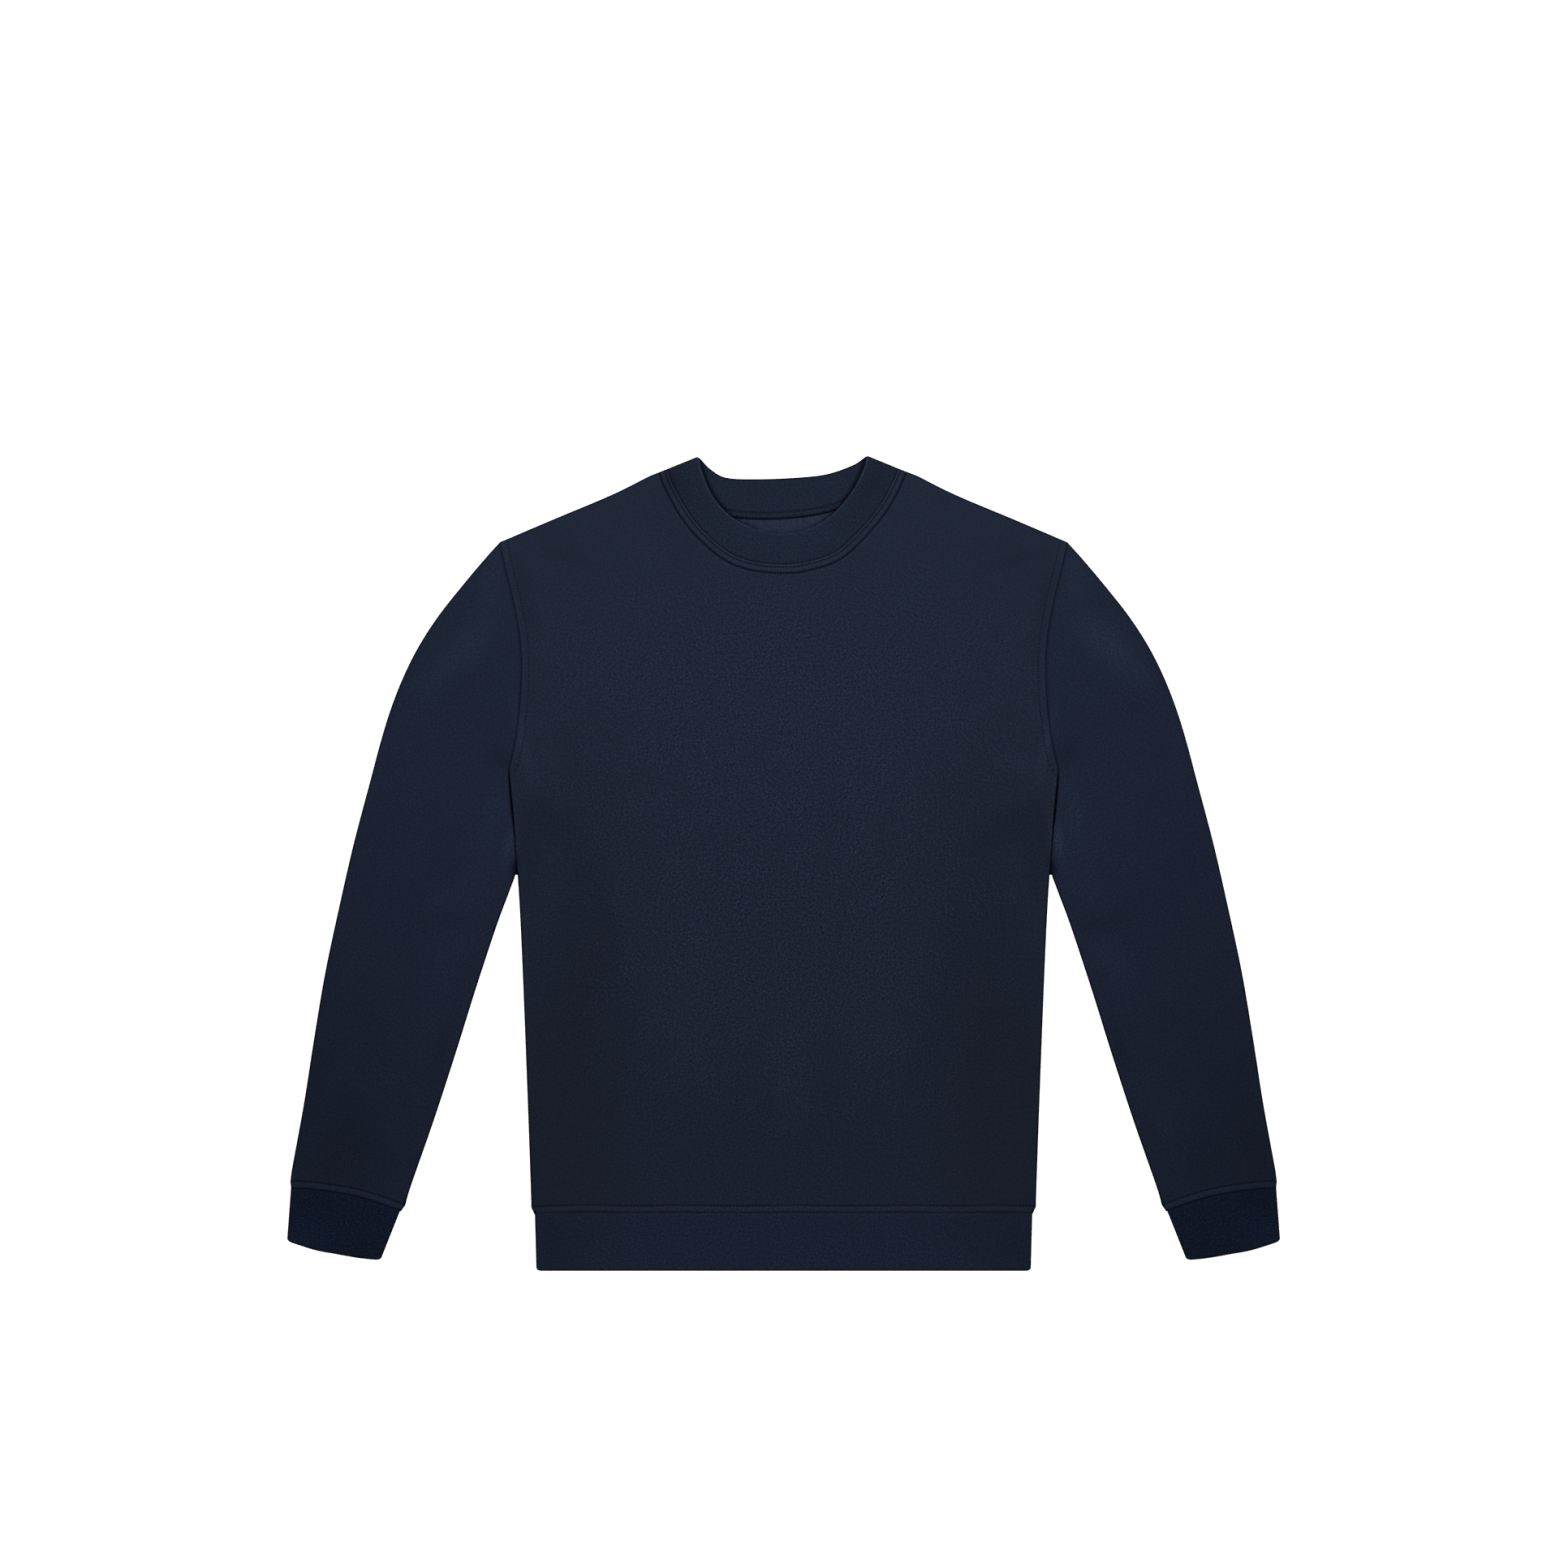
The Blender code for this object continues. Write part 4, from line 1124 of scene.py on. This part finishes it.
def add_loops(mesh):
    """Adds the overlock's threads, each slanted over the ridge."""
    length = length_of(NECK_BACK.line)
    starts = np.arange(OVERLOCK_PITCH, length - OVERLOCK_PITCH, OVERLOCK_PITCH)
    shares = (starts[:, None] + OVERLOCK_SLANT * (LOOP_ANGLES / math.pi - 0.5)) / length
    line = np.stack([spaced(NECK_BACK.line, share) for share in shares])
    way_out = np.stack([unit(spaced(NECK_BACK.out, share)) for share in shares])
    out = OVERLOCK_OUT - (OVERLOCK_HALF_WIDTH + LOOP_LIFT) * np.cos(LOOP_ANGLES)
    plan = line + out[:, None] * way_out
    rise = (OVERLOCK_HEIGHT + LOOP_LIFT) * np.sin(LOOP_ANGLES)
    centres = placed(plan, inner_heights(plan, False) + rise)
    points = round_points(centres, unit(np.gradient(centres, axis=1)), LOOP_RADIUS)
    mesh.add_threads(points, (LOOP_SHADE * band_shadow(plan))[..., None], points[..., :2])


def tuck(name, side, material):
    """The cloth folded in between body and sleeve below the underarm, painted near black as their shadow."""
    ups = np.linspace(SIDE_FOLD[0].up, TUCK_END, 28)
    folds = [smooth_curve(fold, count=200)[::-1] for fold in (SIDE_FOLD, SLEEVE_INNER_FOLD)]
    body, arm = (np.interp(ups, fold[:, 1], fold[:, 0]) for fold in folds)
    across = np.stack([body - TUCK_LAP, (body + arm) / 2, arm + TUCK_LAP], axis=1)
    plan = mirrored(np.stack(np.broadcast_arrays(across, ups[:, None]), axis=-1), side)
    outer = placed(plan, np.broadcast_to(TUCK_HEIGHTS, plan.shape[:-1]))
    inner = placed(plan, np.full(plan.shape[:-1], TUCK_UNDER))
    mesh = closed_wall(outer, inner, (TUCK_PAINTED_SHADOW, WALL_SHADE), (plan, plan))
    return mesh.piece(name, material, "fleece")


# Materials

BODY_COLOUR = (0.0170, 0.0237, 0.0434)
# A slightly darker copy of the body's fleece colour: painted shade on the sleeves
SHADED_SLEEVE_COLOUR = (0.0154, 0.0221, 0.0428)
BAND_COLOUR = (0.0150, 0.0215, 0.0396)
# A lighter copy of the band's rib colour: painted light on the hem band
LIT_HEM_COLOUR = (0.0180, 0.0260, 0.0508)
# A darker copy of the band's rib colour: painted shade on the cuffs
SHADED_CUFF_COLOUR = (0.0094, 0.0157, 0.0350)
CLOTH_ROUGHNESS = 0.9
CLOTH_SPECULAR = 0.03
BUMP_STRENGTH = 0.6
FLEECE_RELIEF = 0.00025
RIB_GRAIN_RELIEF = 0.0001
WALE = 0.00105  # a column of the knit face
COURSE = 0.00085  # a row of it
WALE_SLANT = 1.3
LOOP_DEPTH = 0.35
FACE_HEIGHT = 0.12
FACE_TONE = 0.02
STROKE_FINE = 620.0
STROKE_LONG = 330.0
STROKE_DEPTH = 0.7
STROKE_LEAN = 2.4  # how much more of the strokes rise in some places, and fall in others
LEAN_SCALE = 9.0
DARKEST_SPECK = -0.17
DRIFT_SCALE = 38.0
DRIFT_SPECKLE = 1.6
DRIFT_TONE = 0.16
SIDES_FADE = 9.0  # for each square metre across
HEM_GRAIN = (-0.27, -0.10, 0.6, 1.0)  # two places along the frame's Y, and the grain's strength at each
NECK_GRAIN = (0.19, 0.28, 1.0, 0.45)


class Value:
    """A number that a node gives, for arithmetic with plain numbers and other values."""

    def __init__(self, nodes, socket):
        self.nodes, self.socket = nodes, socket

    def __add__(self, other):
        return self.nodes.math("ADD", self, other)

    def __sub__(self, other):
        return self.nodes.math("SUBTRACT", self, other)

    def __rsub__(self, other):
        return self.nodes.math("SUBTRACT", other, self)

    def __mul__(self, other):
        return self.nodes.math("MULTIPLY", self, other)

    __radd__ = __add__
    __rmul__ = __mul__


class Nodes:
    """Adds nodes to a material and joins their sockets."""

    def __init__(self, name):
        self.material = bpy.data.materials.new(name)
        self.material.use_nodes = True
        self.tree = self.material.node_tree
        self.shader = self.tree.nodes["Principled BSDF"]

    def add(self, kind, settings=None, **inputs):
        """Adds a node. Its inputs go by name, or as in0, in1 and so on by number."""
        node = self.tree.nodes.new(kind)
        for name, value in (settings or {}).items():
            setattr(node, name, value)
        for name, value in inputs.items():
            self.feed(node.inputs[int(name[2:]) if name.startswith("in") else name], value)
        return node

    def feed(self, socket, value):
        if isinstance(value, Value):
            value = value.socket
        if isinstance(value, bpy.types.NodeSocket):
            self.tree.links.new(value, socket)
        else:
            socket.default_value = value

    def surface(self, name, value):
        """Sets or links one of the shader's own inputs."""
        self.feed(self.shader.inputs[name], value)

    def math(self, operation, first, second=0.0):
        node = self.add("ShaderNodeMath", {"operation": operation}, in0=first, in1=second)
        return Value(self, node.outputs[0])

    def attribute(self, name, output):
        return self.add("ShaderNodeAttribute", {"attribute_name": name}).outputs[output]

    def across_and_along(self, vector):
        place = self.add("ShaderNodeSeparateXYZ", Vector=vector)
        return Value(self, place.outputs["X"]), Value(self, place.outputs["Y"])

    def noise(self, place, scale, detail, roughness=0.5):
        """Noise about 0."""
        inputs = {"Vector": place, "Scale": scale, "Detail": detail, "Roughness": roughness}
        return Value(self, self.add("ShaderNodeTexNoise", **inputs).outputs["Fac"]) - 0.5

    def ramp(self, value, start, end, at_start, at_end):
        """Goes from one number to another between two values, and stays the same beyond them."""
        inputs = {"in0": value, "in1": start, "in2": end, "in3": at_start, "in4": at_end}
        return Value(self, self.add("ShaderNodeMapRange", **inputs).outputs[0])


def jersey(nodes, x, y):
    """The relief of a fine knit face: columns of small Vs."""
    half_wale = nodes.math("PINGPONG", x, WALE / 2)
    turn = y * (1 / COURSE) + half_wale * (WALE_SLANT / WALE)
    loop = nodes.math("SINE", turn * (2 * math.pi))
    groove = nodes.math("SINE", half_wale * (2 * math.pi / WALE))
    return loop * LOOP_DEPTH + groove


def stroke_noise(nodes, x, y):
    """Noise in short strokes, finer across them than along."""
    place = nodes.add("ShaderNodeCombineXYZ", X=x * STROKE_FINE, Y=y * STROKE_LONG, Z=0.0)
    return nodes.noise(place.outputs[0], scale=1.0, detail=0.0)


def slanted_strokes(nodes, knit, x, y):
    """Short strokes that rise or fall across the cloth, more of one kind in some places."""
    lean = nodes.noise(knit, LEAN_SCALE, detail=1.0) * STROKE_LEAN
    rise, fall = x + y, x - y
    rising = stroke_noise(nodes, fall, rise) * (STROKE_DEPTH + lean)
    falling = stroke_noise(nodes, rise, fall) * (STROKE_DEPTH - lean)
    return rising + falling


def body_fade(nodes):
    """How strong the body's grain is: less towards its sides, its hem and its neck."""
    x, y = nodes.across_and_along(nodes.add("ShaderNodeTexCoord").outputs["Object"])
    return (1.0 - x * x * SIDES_FADE) * nodes.ramp(y, *HEM_GRAIN) * nodes.ramp(y, *NECK_GRAIN)


def cloth(name, colour, relief, speckle, knit_face, fades=False):
    """A matt cloth. speckle is how much lighter and darker its grain is."""
    nodes = Nodes(name)
    # The shade attribute carries painted light and shade, multiplied into the colour and the grain's strength
    shade, knit = Value(nodes, nodes.attribute("shade", "Fac")), nodes.attribute("knit", "Vector")
    x, y = nodes.across_and_along(knit)
    drift = nodes.noise(knit, DRIFT_SCALE, detail=3.0, roughness=0.55)
    strokes = slanted_strokes(nodes, knit, x, y)
    strength = (drift * DRIFT_SPECKLE + 1.0) * speckle * shade
    if fades:
        strength = strength * body_fade(nodes)
    specks = nodes.math("MAXIMUM", strokes, DARKEST_SPECK) * strength
    varied = specks + 1.0 + drift * DRIFT_TONE
    height = strokes
    if knit_face:
        face = jersey(nodes, x, y)
        varied = varied + face * FACE_TONE
        height = face * FACE_HEIGHT + strokes
    value = nodes.math("MAXIMUM", varied * shade, 0.0)
    tint = nodes.add("ShaderNodeVectorMath", {"operation": "SCALE"}, in0=colour, Scale=value)
    bump = nodes.add("ShaderNodeBump", Height=height, Distance=relief, Strength=BUMP_STRENGTH)
    nodes.surface("Base Color", tint.outputs[0])
    nodes.surface("Normal", bump.outputs["Normal"])
    nodes.surface("Roughness", CLOTH_ROUGHNESS)
    nodes.surface("Specular IOR Level", CLOTH_SPECULAR)
    return nodes.material


def body_fleece():
    return cloth("body_fleece", BODY_COLOUR, FLEECE_RELIEF, speckle=2.0, knit_face=True, fades=True)


def sleeve_fleece():
    return cloth("sleeve_fleece", SHADED_SLEEVE_COLOUR, FLEECE_RELIEF, speckle=0.95, knit_face=True)


def band_rib():
    return cloth("band_rib", BAND_COLOUR, RIB_GRAIN_RELIEF, speckle=1.35, knit_face=False)


def hem_rib():
    return cloth("hem_rib", LIT_HEM_COLOUR, RIB_GRAIN_RELIEF, speckle=1.35, knit_face=False)


def cuff_rib():
    return cloth("cuff_rib", SHADED_CUFF_COLOUR, RIB_GRAIN_RELIEF, speckle=1.9, knit_face=False)


# The garment


def body_strips(word, neck, upper, material):
    """The strips along a panel's neckline, hem and armholes."""
    seams = {"neck_seam": neck, "hem_seam": HEM}
    for side_word, side in SIDES.items():
        seams[f"armhole_seam_{side_word}"] = ARMHOLE[side]
    return [seam_strip(f"{word}_{name}", seam, upper, material) for name, seam in seams.items()]


def body_cloths(fleece, rib):
    """The front, which lies on the back, and the back with the overlock inside its neck."""
    front = panel("front_cloth", True, NECK_FRONT, PANEL_STEP, fleece)
    back = panel("back_cloth", False, NECK_BACK, BACK_STEP, fleece)
    on_front = body_strips("front", NECK_FRONT, True, fleece)
    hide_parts("front_panel")
    on_back = body_strips("back", NECK_BACK, False, fleece) + [overlock(rib)]
    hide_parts("back_panel")


def sleeve_strips(word, side, material):
    """The strips along a sleeve's end, on both of its layers."""
    layers = {"front": True, "back": False}
    return [
        seam_strip(f"sleeve_end_{word}_{layer}", SLEEVE_END[side], upper, material)
        for layer, upper in layers.items()
    ]


def sleeve_and_cuff(word, side, fleece, rib):
    tube = sleeve(f"sleeve_cloth_{word}", side, fleece)
    trim = sleeve_strips(word, side, fleece) + [tuck(f"underarm_shadow_tuck_{word}", side, fleece)]
    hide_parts(f"sleeve_{word}")
    half = cuff_half(side)
    cuff = rib_ring(f"cuff_cloth_{word}", half, half, "cuff_rib", rib)
    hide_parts(f"cuff_{word}")


def hem_band(rib):
    hem = rib_ring("hem_cloth", HEM_HALF, HEM_HALF, "rib", rib)
    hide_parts("hem_band")


def neckband(rib):
    halves = NECK_FRONT_HALF, NECK_BACK_HALF
    neck = rib_ring("neck_cloth", *halves, "rib", rib, NECK_CORNER, NECK_ROW_STEP, neckband_light)
    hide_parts("neckband")


def garment():
    neck_knit = band_rib()
    sleeve_knit = sleeve_fleece()
    cuff_knit = cuff_rib()
    body_cloths(body_fleece(), neck_knit)
    for word, side in SIDES.items():
        sleeve_and_cuff(word, side, sleeve_knit, cuff_knit)
    hem_band(hem_rib())
    neckband(neck_knit)


# Stage

FLOOR_HALF_SIZE = 12
FLOOR_HEIGHT = -0.0003
FLOOR_SHADE = 0.9
FLOOR_ROUGHNESS = 0.9
FLOOR_GLOW = 1.2
WHITE = (1, 1, 1, 1)
LIGHT_PLACE = (0, 0.50, 1.20)
LIGHT_AIM = (0, 0.05, 0)
LIGHT_SIZE = 0.9
LIGHT_POWER = 12.5
WORLD_LIGHT = 0.13
PHOTO_WIDTH = 1.39104  # what the frame spans, square
PHOTO_CENTRE = (0.00036, 0.0702)
CAMERA_HEIGHT = 6.0
SENSOR_MM = 36


def lit_floor():
    mesh = bpy.data.meshes.new("floor")
    corners = [(-1, -1), (1, -1), (1, 1), (-1, 1)]
    places = [(x * FLOOR_HALF_SIZE, y * FLOOR_HALF_SIZE, FLOOR_HEIGHT) for x, y in corners]
    mesh.from_pydata(places, [], [(0, 1, 2, 3)])
    nodes = Nodes("white_floor")
    nodes.surface("Base Color", (FLOOR_SHADE, FLOOR_SHADE, FLOOR_SHADE, 1))
    nodes.surface("Roughness", FLOOR_ROUGHNESS)
    nodes.surface("Emission Color", WHITE)
    nodes.surface("Emission Strength", FLOOR_GLOW)
    mesh.materials.append(nodes.material)
    shown("floor", mesh)


def overhead_light():
    lamp = bpy.data.lights.new("overhead", "AREA")
    lamp.shape = "DISK"
    lamp.size = LIGHT_SIZE
    lamp.energy = LIGHT_POWER
    holder = shown("overhead", lamp)
    holder.location = LIGHT_PLACE
    aim = Vector(LIGHT_AIM) - Vector(LIGHT_PLACE)
    holder.rotation_euler = aim.to_track_quat("-Z", "Y").to_euler()


def surrounding_light():
    world = bpy.data.worlds.new("white")
    world.use_nodes = True
    background = world.node_tree.nodes["Background"]
    background.inputs["Color"].default_value = WHITE
    background.inputs["Strength"].default_value = WORLD_LIGHT
    bpy.context.scene.world = world


def camera():
    data = bpy.data.cameras.new("camera")
    data.sensor_width = SENSOR_MM
    data.lens = SENSOR_MM * CAMERA_HEIGHT / PHOTO_WIDTH
    data.clip_end = 100
    holder = shown("camera", data)
    holder.location = (*PHOTO_CENTRE, CAMERA_HEIGHT)
    bpy.context.scene.camera = holder


def main():
    garment()
    lit_floor()
    overhead_light()
    surrounding_light()
    camera()
    bpy.context.scene.view_settings.view_transform = "Standard"


main()
